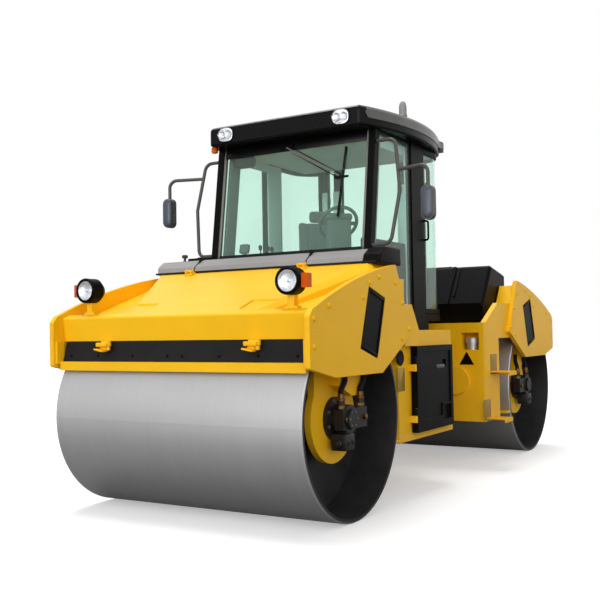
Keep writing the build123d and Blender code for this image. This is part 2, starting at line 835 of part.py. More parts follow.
# Front frame: a wide box under the cab with side bays, a steering tunnel, shoulders and two ears
ear_front = frame_rear_x
with BuildPart() as front_chassis:
    block((frame_rear_x, frame_front_x), (-front_half, front_half), (frame_clearance, front_deck))
    block(
        (frame_rear_x, frame_rear_x + tunnel_length),
        (-tunnel_half, tunnel_half),
        (frame_clearance, tunnel_top),
        Mode.SUBTRACT,
    )
    for side in (1, -1):
        bay_y = sorted((side * (front_half - bay_depth), side * front_half))
        block(
            (service_door_x0 + bay_wall, service_door_x1 - bay_wall),
            bay_y,
            (service_door_low + bay_wall, service_door_high - bay_wall),
            Mode.SUBTRACT,
        )
    shoulder = [
        (frame_front_x, shoulder_foot),
        (frame_front_x, shoulder_top),
        (frame_front_x - shoulder_tail + shoulder_slope, shoulder_top),
        (frame_front_x - shoulder_tail, front_deck),
        (frame_front_x - shoulder_tail, shoulder_foot),
    ]
    shoulder_inner = panel_inner - shoulder_thickness
    side_plate(shoulder, shoulder_inner, panel_inner)
    side_plate(shoulder, -panel_inner, -shoulder_inner)
    for ear_z in (lower_ear, upper_ear):
        with BuildSketch(Plane.XY.offset(ear_z)):
            with Locations((pivot_x, 0)):
                Circle(ear_radius)
            with BuildLine():
                Polyline(
                    (pivot_x, ear_radius),
                    (frame_rear_x, tunnel_half - ear_thickness),
                    (frame_rear_x, ear_thickness - tunnel_half),
                    (pivot_x, -ear_radius),
                    close=True,
                )
            make_face()
            with Locations((pivot_x, 0)):
                Circle(pin_radius + bearing_gap, mode=Mode.SUBTRACT)
        extrude(amount=ear_thickness)
    ear_root = (frame_rear_x, frame_rear_x + ear_thickness)
    block(ear_root, (-tunnel_half, tunnel_half), (lower_ear, lower_ear + ear_thickness))
    for side in (1, -1):
        lug_y = (side * lashing_y - lashing_thickness / 2, side * lashing_y + lashing_thickness / 2)
        lug_x = frame_rear_x - lashing_reach
        block((lug_x, frame_rear_x), lug_y, (lashing_z - lashing_radius, lashing_z + lashing_radius))
        pin_along_y(lug_x, lashing_z, lashing_radius, *lug_y)
        pin_along_y(lug_x, lashing_z, lashing_eye, *lug_y, Mode.SUBTRACT)
        for rise in (service_hinge_low, service_hinge_high):
            hinge_z = service_door_low + rise
            hinge_fixed(service_hinge_x, side * service_hinge_y, hinge_z)
            bracket_y = sorted((side * front_half, side * service_hinge_y))
            bracket_z = (hinge_z, hinge_z + hinge_height / 2 - hinge_clear / 2)
            block((service_hinge_x, service_hinge_x + hinge_knuckle), bracket_y, bracket_z)
    anchor_plate = cylinder_level - eye_thickness / 2
    block(
        (cylinder_anchor_x - eye_radius, frame_rear_x + tunnel_length),
        (cylinder_offset - eye_radius, tunnel_half),
        (anchor_plate - lug_thickness, anchor_plate),
    )

# Hitch on the rear frame: a block between the ears on an upright pin, with a lug for the cylinder
hitch_low = lower_ear + ear_thickness + joint_gap
hitch_high = upper_ear - joint_gap
with BuildPart() as articulation_hitch:
    with BuildSketch(Plane.XY.offset(hitch_low)):
        with Locations((pivot_x, 0)):
            Circle(hitch_half)
        with BuildLine():
            Polyline(
                (pivot_x, hitch_half),
                (rear_front_x + hitch_flange, hitch_half),
                (rear_front_x + hitch_flange, -hitch_half),
                (pivot_x, -hitch_half),
                close=True,
            )
        make_face()
    extrude(amount=hitch_high - hitch_low)
    block(
        (rear_front_x, rear_front_x + hitch_flange),
        (-hitch_flange_half, hitch_flange_half),
        (hitch_low - ear_thickness, hitch_high + ear_thickness),
    )
    pin_along_z(pivot_x, 0, pin_radius, lower_ear - joint_gap, upper_ear + ear_thickness + joint_gap)
    pin_top = upper_ear + ear_thickness + joint_gap
    pin_along_z(pivot_x, 0, pin_head, pin_top, pin_top + pin_head_height)
    for lug_z in (anchor_plate - lug_gap - lug_thickness, anchor_plate + eye_thickness + lug_gap):
        with BuildSketch(Plane.XY.offset(lug_z)):
            with Locations((pivot_x, cylinder_offset)):
                Circle(eye_radius + lug_gap)
            with Locations((pivot_x, cylinder_offset / 2)):
                Rectangle(2 * (eye_radius + lug_gap), cylinder_offset)
        extrude(amount=lug_thickness)

# Steering cylinder: barrel pinned in the tunnel, rod reaching to the hitch lug
barrel_end = cylinder_anchor_x - barrel_length
with BuildPart() as steering_barrel:
    pin_along_x(cylinder_offset, cylinder_level, barrel_radius, barrel_end, cylinder_anchor_x - eye_radius)
    pin_along_z(cylinder_anchor_x, cylinder_offset, eye_radius, anchor_plate, anchor_plate + eye_thickness)
    bore_far = cylinder_anchor_x - eye_radius - barrel_wall
    bore = rod_radius + bearing_gap
    pin_along_x(cylinder_offset, cylinder_level, bore, barrel_end, bore_far, Mode.SUBTRACT)
with BuildPart() as steering_rod:
    rod_end = barrel_end + rod_inside
    pin_along_x(cylinder_offset, cylinder_level, rod_radius, pivot_x, rod_end)
    pin_along_z(pivot_x, cylinder_offset, eye_radius, anchor_plate, anchor_plate + eye_thickness)

# Rear frame: a wide box with a bridge towards the engine and shoulders out to the side panels
rear_axle_x = -axle_x
tank_foot_x = -at_axle((-panel_back_low, 0))[0]
tank_crest_x = -panel_tip[0] - tank_crest_length
tank_crest_z = hood_top_z - tank_crest_drop
tank_slant = (tank_foot_x + panel_tip[0]) / (tank_crest_z - rear_deck)
bridge_x = rear_box_x - rear_bridge_length
with BuildPart() as rear_chassis:
    block((rear_box_x, rear_front_x), (-rear_half, rear_half), (frame_clearance, rear_deck))
    block((bridge_x, rear_box_x), (-bonnet_half, bonnet_half), (rear_shoulder_low, rear_deck))
    for side in (1, -1):
        shoulder_y = sorted((side * rear_shoulder_inner, side * panel_inner))
        block((rear_axle_x + rear_shoulder_end, rear_box_x), shoulder_y, (rear_shoulder_low, rear_deck))
        web_y = sorted((side * (bonnet_half - post), side * rear_shoulder_inner))
        block((bridge_x, rear_box_x), web_y, (rear_shoulder_low, rear_deck))
    fin_top_x = tank_foot_x - tank_slant * fin_rise
    fin = [
        (rear_front_x - fin_setback, rear_deck),
        (rear_box_x, rear_deck + fin_rise),
        (fin_top_x, rear_deck + fin_rise),
        (tank_foot_x, rear_deck),
    ]
    side_plate(fin, panel_inner - fin_thickness, panel_inner)
    side_plate(fin, -panel_inner, fin_thickness - panel_inner)
    filler_x = (rear_front_x - filler_recess, rear_front_x)
    filler_span = (filler_y - filler_width / 2, filler_y + filler_width / 2)
    block(filler_x, filler_span, (filler_z - filler_height / 2, filler_z + filler_height / 2), Mode.SUBTRACT)
    pin_along_x(boss_y, boss_z, boss_radius, rear_front_x, rear_front_x + boss_height)

# Fuel cap in the filler recess and a blank three-cornered sign below it
with BuildPart() as fuel_cap:
    cap_x = rear_front_x - filler_recess / 2
    neck_z = filler_z - filler_height / 2
    pin_along_z(cap_x, filler_y, filler_neck_radius, neck_z, neck_z + filler_neck)
    neck_top = neck_z + filler_neck
    pin_along_z(cap_x, filler_y, filler_cap_radius, neck_top, neck_top + filler_cap_height)
with BuildPart() as slow_sign:
    with BuildSketch(Plane.YZ.offset(rear_front_x)):
        with Locations((sign_y, sign_z)):
            RegularPolygon(sign_side / math.sqrt(3), 3, rotation=90)
    extrude(amount=sign_thickness)

# Steps on both sides of the rear frame: plates with their outer and rear edges folded down
with BuildPart() as rear_steps:
    for level, setback in ((upper_step, upper_step_setback), (lower_step, lower_step_setback)):
        step_x1 = rear_front_x - setback
        step_x0 = step_x1 - step_length
        step_y1 = rear_half + step_reach
        block((step_x0, step_x1), (rear_half, step_y1), (level - step_thickness, level))
        block((step_x0, step_x1), (step_y1 - step_thickness, step_y1), (level - step_fold, level))
        block((step_x0, step_x0 + step_thickness), (rear_half, step_y1), (level - step_fold, level))
    mirror(about=Plane.XZ)

# Rear tank: the water tank behind and beside the engine
tank_fall = (tank_crest_z - axle_z - beam_high - beam_lean) / (tank_crest_x + axle_x + beam_back)
tank_lip_z = tank_crest_z - tank_fall * (tank_crest_x - bonnet_back_x)
bonnet_hinge_x = bonnet_back_x - hinge_knuckle
bonnet_hinge_z = tank_lip_z + hinge_knuckle + hinge_clear
tank_arch_end = math.sqrt(arch_radius**2 - (rear_deck - axle_z) ** 2)
with BuildPart() as rear_tank:
    with BuildSketch(Plane.XZ.offset(panel_inner)):
        with BuildLine():
            Polyline(
                (-axle_x + tank_arch_end, rear_deck),
                (tank_foot_x, rear_deck),
                (-panel_tip[0], tank_crest_z),
                (tank_crest_x, tank_crest_z),
                (-axle_x - beam_back, axle_z + beam_high + beam_lean),
                (-axle_x - beam_back, axle_z + arch_rise),
                (-axle_x - arch_half, axle_z + arch_rise),
            )
            ThreePointArc(
                (-axle_x - arch_half, axle_z + arch_rise),
                (-axle_x, axle_z + arch_radius),
                (-axle_x + tank_arch_end, rear_deck),
            )
        make_face()
    extrude(amount=-2 * panel_inner)
    block(
        (bonnet_back_x, tank_foot_x),
        (-bonnet_half - hood_gap, bonnet_half + hood_gap),
        (rear_deck - hood_rear_drop, hood_top_z + bonnet_rise),
        Mode.SUBTRACT,
    )
    for side in (1, -1):
        hinge_y = side * bonnet_hinge_y
        inner_end = hinge_y - side * hinge_clear / 2
        outer_end = hinge_y - side * hinge_height / 2
        knuckle_y = sorted((inner_end, outer_end))
        pin_y = sorted((outer_end, hinge_y + side * hinge_height / 2))
        pin_along_y(bonnet_hinge_x, bonnet_hinge_z, hinge_knuckle, *knuckle_y)
        pin_along_y(bonnet_hinge_x, bonnet_hinge_z, hinge_pin, *pin_y)
        bracket_x = (bonnet_hinge_x - hinge_knuckle, bonnet_hinge_x)
        block(bracket_x, knuckle_y, (tank_lip_z - hinge_knuckle, bonnet_hinge_z))

# Engine under the bonnet
with BuildPart() as engine_block:
    engine_x1 = bonnet_front_x - engine_front
    engine_x = (engine_x1 - engine_length, engine_x1)
    block(engine_x, (-engine_half, engine_half), (rear_deck, rear_deck + engine_height))

# Bonnet: a black lid hinged at its back edge
bonnet_low = rear_deck + hood_gap
bonnet_front_top_x = bonnet_front_x - bonnet_lean
bonnet_back = bonnet_back_x + hood_gap
with BuildPart() as engine_hood:
    bonnet_outline = [
        (bonnet_front_x, bonnet_low),
        (bonnet_front_x, bonnet_low + bonnet_upright),
        (bonnet_front_top_x, rear_deck + bonnet_rise),
        (bonnet_back, rear_deck + bonnet_back_rise),
        (bonnet_back, bonnet_low),
    ]
    with BuildSketch(Plane.XZ.offset(bonnet_half)) as bonnet_side:
        with BuildLine():
            Polyline(*bonnet_outline, close=True)
        make_face()
        crown_corner = vertices().sort_by(Axis.Y)[-1]
        fillet(crown_corner, radius=bonnet_corner)
    extrude(bonnet_side.sketch, amount=-2 * bonnet_half)
    chamfer(edges().filter_by(Axis.Y, reverse=True).group_by(Axis.Z)[-1], length=bonnet_skin)
    rib_outline = [
        (bonnet_front_x + bonnet_rib_rise, bonnet_low + bonnet_upright),
        (bonnet_front_top_x + bonnet_rib_rise, rear_deck + bonnet_rise),
        (bonnet_front_top_x, rear_deck + bonnet_rise - bonnet_skin),
        (bonnet_front_x - bonnet_skin, bonnet_low + bonnet_upright),
    ]
    for side in (1, -1):
        rib_y = side * bonnet_rib_y
        side_plate(rib_outline, rib_y - bonnet_rib / 2, rib_y + bonnet_rib / 2)
    bonnet_inside = [
        (bonnet_front_x - bonnet_skin, bonnet_low - hood_gap),
        (bonnet_front_x - bonnet_skin, bonnet_low + bonnet_upright),
        (bonnet_front_top_x - bonnet_skin, rear_deck + bonnet_rise - 2 * bonnet_skin),
        (bonnet_back - hood_gap, rear_deck + bonnet_back_rise - 2 * bonnet_skin),
        (bonnet_back - hood_gap, bonnet_low - hood_gap),
    ]
    side_plate(bonnet_inside, bonnet_skin - bonnet_half, bonnet_half - bonnet_skin, Mode.SUBTRACT)
    lip_z = (bonnet_hinge_z + hinge_clear, rear_deck + bonnet_back_rise - 2 * bonnet_skin)
    lip_y = (bonnet_skin - bonnet_half, bonnet_half - bonnet_skin)
    block((bonnet_back, bonnet_back + bonnet_skin), lip_y, lip_z)
    for side in (1, -1):
        near_end = side * (bonnet_hinge_y + hinge_clear / 2)
        far_end = side * (bonnet_hinge_y + hinge_height / 2)
        barrel_y = sorted((near_end, far_end))
        leaf_x = (bonnet_hinge_x, bonnet_back + bonnet_skin)
        block(leaf_x, barrel_y, (bonnet_hinge_z, bonnet_hinge_z + hinge_knuckle))
        pin_along_y(bonnet_hinge_x, bonnet_hinge_z, hinge_knuckle, *barrel_y)
        pin_along_y(bonnet_hinge_x, bonnet_hinge_z, hinge_pin + bearing_gap, *barrel_y, Mode.SUBTRACT)

# Tail lamps on the rear beam
with BuildPart() as tail_lamps:
    tail_x = -axle_x - beam_front
    tail_z = axle_z + (beam_low + beam_high) / 2
    lamp_back = tail_x - tail_lamp_depth
    tail_y = (lamp_y - tail_lamp_width / 2, lamp_y + tail_lamp_width / 2)
    tail_z_span = (tail_z - tail_lamp_height / 2, tail_z + tail_lamp_height / 2)
    block((lamp_back, tail_x + beam_lean), tail_y, tail_z_span)
    with BuildSketch(Plane.XZ.offset(-tail_y[0])) as rear_beam_shape:
        with BuildLine():
            Polyline(*[(-x, z) for x, z in beam_outline], close=True)
        make_face()
    extrude(rear_beam_shape.sketch, amount=-tail_lamp_width, mode=Mode.SUBTRACT)
    mirror(about=Plane.XZ)

# Headlamps: round buckets on the stems, with lenses, and indicators on their outer sides
with BuildPart() as headlamps:
    lens_seat = lamp_x - lens_depth
    bucket_back = lamp_x - lamp_depth
    pin_along_x(lamp_y, lamp_z, lamp_radius, lamp_x - lamp_rim, lamp_x)
    with BuildSketch(Plane.YZ.offset(lamp_x - lamp_rim)):
        with Locations((lamp_y, lamp_z)):
            Circle(lamp_radius)
    with BuildSketch(Plane.YZ.offset(bucket_back)):
        with Locations((lamp_y, lamp_z)):
            Circle(lamp_radius - lamp_taper)
    loft()
    pin_along_x(lamp_y, lamp_z, lens_radius, lens_seat, lamp_x, Mode.SUBTRACT)
    mirror(about=Plane.XZ)
with BuildPart() as headlamp_lenses:
    pin_along_x(lamp_y, lamp_z, lens_radius - cover_gap, lens_seat, lamp_x - cover_gap)
    mirror(about=Plane.XZ)
with BuildPart() as indicator_lamps:
    indicator_y0 = lamp_y + lamp_radius
    with BuildSketch(Plane.YZ.offset(lamp_x - indicator_back - indicator_depth)):
        with Locations((indicator_y0 + indicator_width / 2, lamp_z)):
            RectangleRounded(indicator_width, indicator_height, cover_thickness)
    extrude(amount=indicator_depth)
    mirror(about=Plane.XZ)

# Cab floor and front wall
floor_half = cab_half
with BuildPart() as cab_base:
    block((cab_step_x, cab_front_x), (-floor_half, floor_half), (front_deck, cab_floor_top))
    floor_low = front_deck + cab_step_up
    block((cab_rear_x, cab_step_x), (-floor_half, floor_half), (floor_low, cab_floor_top))
    with BuildSketch(Plane.XY.offset(front_deck)) as floor_plan:
        with Locations(((cab_front_x + cab_rear_x) / 2, 0)):
            Rectangle(cab_front_x - cab_rear_x, 2 * floor_half)
        fillet(vertices().group_by(Axis.X)[0], radius=cab_corner)
    extrude(floor_plan.sketch, amount=cab_floor, mode=Mode.INTERSECT)
    wall_x = (cab_front_x - bulkhead, cab_front_x)
    block(wall_x, (-cab_inner, cab_inner), (cab_floor_top, cab_sill))
    rear_wall_x = (cab_rear_x, cab_rear_x + bulkhead)
    rear_wall_half = cab_bend_y - door_gap
    block(rear_wall_x, (-rear_wall_half, rear_wall_half), (cab_floor_top, cab_floor_top + rear_sill))

# Cab posts
screen_top_x = cab_front_x - screen_lean
with BuildPart() as cab_frame:
    a_outline = [
        (cab_front_x, cab_floor_top),
        (cab_front_x, cab_sill),
        (screen_top_x, cab_top),
        (screen_top_x - a_post, cab_top),
        (cab_front_x - a_post, cab_sill),
        (cab_front_x - a_post, cab_floor_top),
    ]
    side_plate(a_outline, cab_inner, cab_half)
    block((b_post_x, b_post_x + b_post), (cab_inner, cab_half), (cab_floor_top, cab_top))
    c_post_y = (rear_wall_half - c_post, rear_wall_half)
    block((cab_rear_x, cab_rear_x + bulkhead), c_post_y, (cab_floor_top + rear_sill, cab_top))
    for rise in (cab_hinge_low, cab_hinge_high):
        hinge_z = cab_floor_top + rise
        hinge_fixed(cab_hinge_x, cab_hinge_y, hinge_z)
        leaf_z = (hinge_z, hinge_z + hinge_height / 2 - hinge_clear / 2)
        block((cab_hinge_x, cab_rear_x), (cab_hinge_y - hinge_leaf, rear_wall_half), leaf_z)
    rear_post_y = (rear_post_offset - rear_post / 2, rear_post_offset + rear_post / 2)
    block(rear_wall_x, rear_post_y, (cab_floor_top + rear_sill, cab_top))
    mirror(about=Plane.XZ)

# Windscreen between the front posts
screen_back = cab_front_x - glass_setback
with BuildPart() as windscreen:
    screen_outline = [
        (screen_back, cab_sill),
        (screen_back - screen_lean, cab_top),
        (screen_back - screen_lean - glass, cab_top),
        (screen_back - glass, cab_sill),
    ]
    side_plate(screen_outline, -cab_inner, cab_inner)

# Wiper: two parallel arms from a boss above the windscreen, and an upright blade on the glass
screen_rise = cab_top - cab_sill
screen_length = math.hypot(screen_rise, screen_lean)
screen_plane = Plane((screen_back, 0, cab_sill), x_dir=(0, 1, 0), z_dir=(screen_rise, 0, screen_lean))
wiper_top = screen_length - wiper_pivot_drop
wiper_mid = screen_length - wiper_joint_drop
with BuildPart() as wiper:
    with BuildSketch(screen_plane) as boss:
        with Locations((wiper_pivot_y, wiper_top)):
            Rectangle(wiper_link, wiper_boss)
    extrude(boss.sketch, amount=wiper_standoff + wiper_bar)
    for shift in (wiper_spread, -wiper_spread):
        arm_foot = wiper_joint_y + shift
        arm_head = wiper_pivot_y + shift
        with BuildSketch(screen_plane.offset(wiper_standoff)) as wiper_arm:
            with BuildLine():
                Polyline(
                    (arm_head - wiper_bar, wiper_top),
                    (arm_head + wiper_bar, wiper_top),
                    (arm_foot + wiper_bar, wiper_mid),
                    (arm_foot - wiper_bar, wiper_mid),
                    close=True,
                )
            make_face()
        extrude(wiper_arm.sketch, amount=wiper_bar)
    with BuildSketch(screen_plane.offset(wiper_standoff)) as wiper_joint:
        with Locations((wiper_joint_y, wiper_mid)):
            Rectangle(wiper_link, 2 * wiper_bar)
    extrude(wiper_joint.sketch, amount=wiper_bar)
    with BuildSketch(screen_plane) as blade:
        with BuildLine():
            Polyline(
                (wiper_joint_y + wiper_blade_lean, wiper_mid + wiper_blade_up),
                (wiper_joint_y + wiper_blade_lean + wiper_bar, wiper_mid + wiper_blade_up),
                (wiper_joint_y - wiper_blade_lean + wiper_bar, wiper_mid - wiper_blade_down),
                (wiper_joint_y - wiper_blade_lean, wiper_mid - wiper_blade_down),
                close=True,
            )
        make_face()
    extrude(blade.sketch, amount=wiper_standoff + wiper_bar)

# Fixed side panes and rear panes
with BuildPart() as cab_glass:
    pane_y = cab_half - glass_setback
    pane_outline = [
        (cab_front_x - a_post, cab_floor_top),
        (cab_front_x - a_post, cab_sill),
        (screen_top_x - a_post, cab_top),
        (b_post_x + b_post, cab_top),
        (b_post_x + b_post, cab_floor_top),
    ]
    side_plate(pane_outline, pane_y - glass, pane_y)
    rear_glass_x = (cab_rear_x + glass_setback, cab_rear_x + glass_setback + glass)
    block(rear_glass_x, (rear_post_y[1], c_post_y[0]), (cab_floor_top + rear_sill, cab_top))
    mirror(about=Plane.XZ)
    block(rear_glass_x, (-rear_post_y[0], rear_post_y[0]), (cab_floor_top + rear_sill, cab_top))

# Cab doors: framed glass shells that follow the cab's side and its round rear corner, hinged at the rear
door_low = cab_floor_top + door_gap
door_high = cab_top - door_gap
door_front = b_post_x - door_gap
door_inset = door_setback + door_thickness
bend_centre = (cab_bend_x, cab_bend_y)


def door_shell(set_out, set_in):
    """An upright shell round the cab's rear corner, between two setbacks from the cab's skin."""
    with BuildSketch(Plane.XY.offset(door_low)) as plan:
        for setback, kind in ((set_out, Mode.ADD), (set_in, Mode.SUBTRACT)):
            reach = cab_corner - setback
            diagonal = reach * math.sin(math.pi / 4)
            bend_start = (cab_bend_x, cab_half - setback)
            front_corner = (door_front, cab_half - setback)
            bend_end = (cab_rear_x + setback, cab_bend_y)
            with BuildLine():
                Polyline(bend_end, bend_centre, (door_front, cab_bend_y), front_corner, bend_start)
                ThreePointArc(bend_start, (cab_bend_x - diagonal, cab_bend_y + diagonal), bend_end)
            make_face(mode=kind)
    extrude(plan.sketch, amount=door_high - door_low)


pane_x = (cab_rear_x - cab_corner, door_front - door_frame)
pane_y = (cab_bend_y + door_frame, cab_half + cab_corner)
pane_z = (door_low + door_frame, door_high - door_frame)
with BuildPart() as cab_door_left:
    door_shell(door_setback, door_inset)
    block(pane_x, pane_y, pane_z, Mode.SUBTRACT)
    for rise in (cab_hinge_low, cab_hinge_high):
        hinge_z = cab_floor_top + rise
        leaf_z = (hinge_z + hinge_height / 2 + hinge_clear / 2, hinge_z + hinge_height)
        leaf_x = (cab_hinge_x, cab_rear_x + door_inset / 2)
        block(leaf_x, (cab_bend_y, cab_bend_y + hinge_leaf), leaf_z)
        hinge_moving(cab_hinge_x, cab_hinge_y, hinge_z)
    door_outer = cab_half - door_setback
    handle_z = cab_floor_top + handle_rise
    handle_x = door_front - door_frame / 2
    handle_top = handle_z + handle_height
    handle_points = [
        (handle_x, door_outer, handle_z),
        (handle_x, door_outer + handle_reach, handle_z),
        (handle_x, door_outer + handle_reach, handle_top),
        (handle_x, door_outer, handle_top),
    ]
    tube(handle_points, handle_radius, handle_reach / 2)
with BuildPart() as cab_door_left_glass:
    glass_set = door_setback + (door_thickness - glass) / 2
    door_shell(glass_set, glass_set + glass)
    block(pane_x, pane_y, pane_z, Mode.INTERSECT)
with BuildPart() as cab_door_right:
    mirror(cab_door_left.part, about=Plane.XZ, mode=Mode.ADD)
with BuildPart() as cab_door_right_glass:
    mirror(cab_door_left_glass.part, about=Plane.XZ, mode=Mode.ADD)

# Roof: a slab with bowed sides and rounded edges that overhangs the cab
with BuildPart() as cab_roof:
    roof_front_corner = (roof_front_x, roof_front_half)
    roof_rear_corner = (roof_rear_x, roof_rear_half)
    far_front_corner = (roof_front_x, -roof_front_half)
    far_rear_corner = (roof_rear_x, -roof_rear_half)
    with BuildSketch(Plane.XY.offset(cab_top)):
        with BuildLine():
            Line(far_front_corner, roof_front_corner)
            ThreePointArc(roof_front_corner, (roof_wide_x, roof_half), roof_rear_corner)
            Line(roof_rear_corner, far_rear_corner)
            ThreePointArc(far_rear_corner, (roof_wide_x, -roof_half), far_front_corner)
        make_face()
        fillet(vertices().group_by(Axis.X)[-1], radius=roof_front_corner_round)
        fillet(vertices().group_by(Axis.X)[0], radius=roof_corner)
    extrude(amount=roof_thickness)
    fillet(faces().sort_by(Axis.Z)[-1].edges(), radius=roof_crown)
    fillet(faces().sort_by(Axis.Z)[0].edges(), radius=roof_brim)
    eave_z = cab_top + (roof_thickness - eave_lamp) / 2
    for side in (1, -1):
        eave_y = tuple(sorted((side * (eave_lamp_y - eave_lamp), side * eave_lamp_y)))
        block((eave_lamp_x, eave_lamp_x + eave_lamp), eave_y, (eave_z, eave_z + eave_lamp))

# Work lamps on the roof edge, two ahead and two behind
lamp_level = cab_top + roof_thickness / 2
with BuildPart() as roof_lamps:
    front_place = (roof_front_x, roof_lamp_depth, roof_lamp_y)
    rear_place = (roof_rear_x, -roof_lamp_depth, rear_lamp_y)
    for face_x, depth, offset_y in (front_place, rear_place):
        for side in (1, -1):
            with BuildSketch(Plane.YZ.offset(face_x)):
                with Locations((side * offset_y, lamp_level)):
                    RectangleRounded(roof_lamp_width, roof_lamp_height, roof_lamp_round)
            extrude(amount=depth)

# Hand rails and mirrors. The two mirrors are set at different heights
rail_x = cab_front_x - a_post / 2
rail_high_x = rail_x - screen_lean * (rail_top - screen_sill) / (cab_inside_top - screen_sill)
with BuildPart() as mirrors:
    rail_out = cab_half + rail_reach
    rail_mid_x = (rail_x + rail_high_x) / 2
    rail_mid = (rail_top + rail_low) / 2
    for side, arm_rise in ((1, left_arm_rise), (-1, right_arm_rise)):
        rail_points = [
            (rail_high_x, side * cab_half, front_deck + rail_top),
            (rail_high_x, side * (rail_out - rail_tuck), front_deck + rail_top),
            (rail_mid_x, side * rail_out, front_deck + rail_mid),
            (rail_x, side * (rail_out - rail_tuck), front_deck + rail_low),
            (rail_x, side * cab_half, front_deck + rail_low),
        ]
        tube(rail_points, rail_radius, rail_bend)
        arm_z = front_deck + arm_rise
        arm_share = (arm_rise - rail_mid) / (rail_top - rail_mid)
        arm_x = rail_mid_x + (rail_high_x - rail_mid_x) * arm_share
        arm_root = side * (rail_out - rail_tuck * arm_share)
        mirror_x = arm_x + mirror_forward
        mirror_y = side * (cab_half + mirror_reach)
        mirror_top = arm_z - mirror_drop
        arm_points = [
            (arm_x, arm_root, arm_z),
            (mirror_x, mirror_y, arm_z),
            (mirror_x, mirror_y, mirror_top - rail_radius),
        ]
        tube(arm_points, rail_radius, rail_bend)
        with BuildSketch(Plane.YZ.offset(mirror_x - mirror_depth / 2)):
            with Locations((mirror_y, mirror_top - mirror_height / 2)):
                RectangleRounded(mirror_width, mirror_height, mirror_round)
        extrude(amount=mirror_depth)

# Beacon on the roof
with BuildPart() as beacon:
    pin_along_z(beacon_x, beacon_y, beacon_base_radius, roof_top, roof_top + beacon_base)
    dome_z = roof_top + beacon_height - beacon_radius
    pin_along_z(beacon_x, beacon_y, beacon_radius, roof_top + beacon_base, dome_z)
    with Locations((beacon_x, beacon_y, dome_z)):
        Sphere(beacon_radius)

# Operator station: seat and wheel stand on one swivel, turned towards the drum's left edge
station = Location((seat_x, seat_y, 0), (0, 0, seat_turn))
with BuildPart() as seat:
    cushion_low = cab_floor_top + seat_plinth
    cushion_top = cushion_low + cushion
    back_top = cushion_top + backrest
    back_span = (-seat_depth / 2, backrest_thickness - seat_depth / 2)
    seat_half = seat_width / 2
    with Locations(station):
        block((-plinth_half, plinth_half), (-plinth_half, plinth_half), (cab_floor_top, cushion_low))
        block((-seat_depth / 2, seat_depth / 2), (-seat_half, seat_half), (cushion_low, cushion_top))
        block(back_span, (-seat_half, seat_half), (cushion_top, back_top))
        block(back_span, (-headrest_half, headrest_half), (back_top, back_top + headrest))
        for side in (1, -1):
            arm_edge = side * (seat_half + armrest_width)
            arm_span = tuple(sorted((side * seat_half, arm_edge)))
            arm_low = cushion_top + armrest_rise
            block((-seat_depth / 2, armrest_reach), arm_span, (arm_low, arm_low + armrest_width))

# Steering column with its wheel
with BuildPart() as steering_console:
    console_top = cab_floor_top + console_height
    wheel_z = console_top + 2 * wheel_rim
    with Locations(station):
        block(
            (console_reach, console_reach + console_thickness),
            (-console_width / 2, console_width / 2),
            (cab_floor_top, console_top),
        )
        with Locations(Location((console_reach + console_thickness / 2, 0, wheel_z), (0, -wheel_tilt, 0))):
            Torus(wheel_radius, wheel_rim)
            Cylinder(2 * wheel_rim, 5 * wheel_rim)
            Box(2 * wheel_radius, 2 * wheel_rim, wheel_rim)
            Box(2 * wheel_rim, 2 * wheel_radius, wheel_rim)

# Service doors: hollow trays with a sunk panel, a small hatch and a latch pocket
with BuildPart() as service_door_left:
    door_inside = front_half + service_gap
    door_x = (service_door_x0, service_door_x1)
    door_z = (service_door_low, service_door_high)
    block(door_x, (door_inside, service_face), door_z)
    tray_x = (service_door_x0 + service_skin, service_door_x1 - service_skin)
    tray_z = (service_door_low + service_skin, service_door_high - service_skin)
    tray_y = service_face - latch_depth - service_skin
    block(tray_x, (door_inside, tray_y), tray_z, Mode.SUBTRACT)
    panel_x = (service_door_x0 + service_border, service_door_x1 - 2 * service_border)
    panel_z = (service_door_low + 2 * service_border, service_door_high - service_border)
    block(panel_x, (service_face - service_recess, service_face), panel_z, Mode.SUBTRACT)
    latch_x = service_door_x0 + latch_inset
    latch_z = service_door_high - latch_drop
    latch_y = (service_face - latch_depth, service_face)
    latch_x_span = (latch_x, latch_x + latch_width)
    block(latch_x_span, latch_y, (latch_z - latch_height, latch_z), Mode.SUBTRACT)
    hatch_x = (service_door_x0 + hatch_inset, service_door_x0 + hatch_inset + hatch_width)
    hatch_z = (service_door_low + hatch_rise, service_door_low + hatch_rise + hatch_height)
    rim_x = (hatch_x[0] - hatch_rim, hatch_x[1] + hatch_rim)
    rim_z = (hatch_z[0] - hatch_rim, hatch_z[1] + hatch_rim)
    block(rim_x, (service_face - latch_depth, service_face), rim_z)
    block(hatch_x, latch_y, hatch_z, Mode.SUBTRACT)
    for rise in (service_hinge_low, service_hinge_high):
        hinge_z = service_door_low + rise
        leaf_z = (hinge_z + hinge_height / 2 + hinge_clear / 2, hinge_z + hinge_height)
        block((service_door_x1, service_hinge_x), (service_hinge_y, service_face), leaf_z)
        hinge_moving(service_hinge_x, service_hinge_y, hinge_z)
with BuildPart() as service_door_right:
    mirror(service_door_left.part, about=Plane.XZ, mode=Mode.ADD)

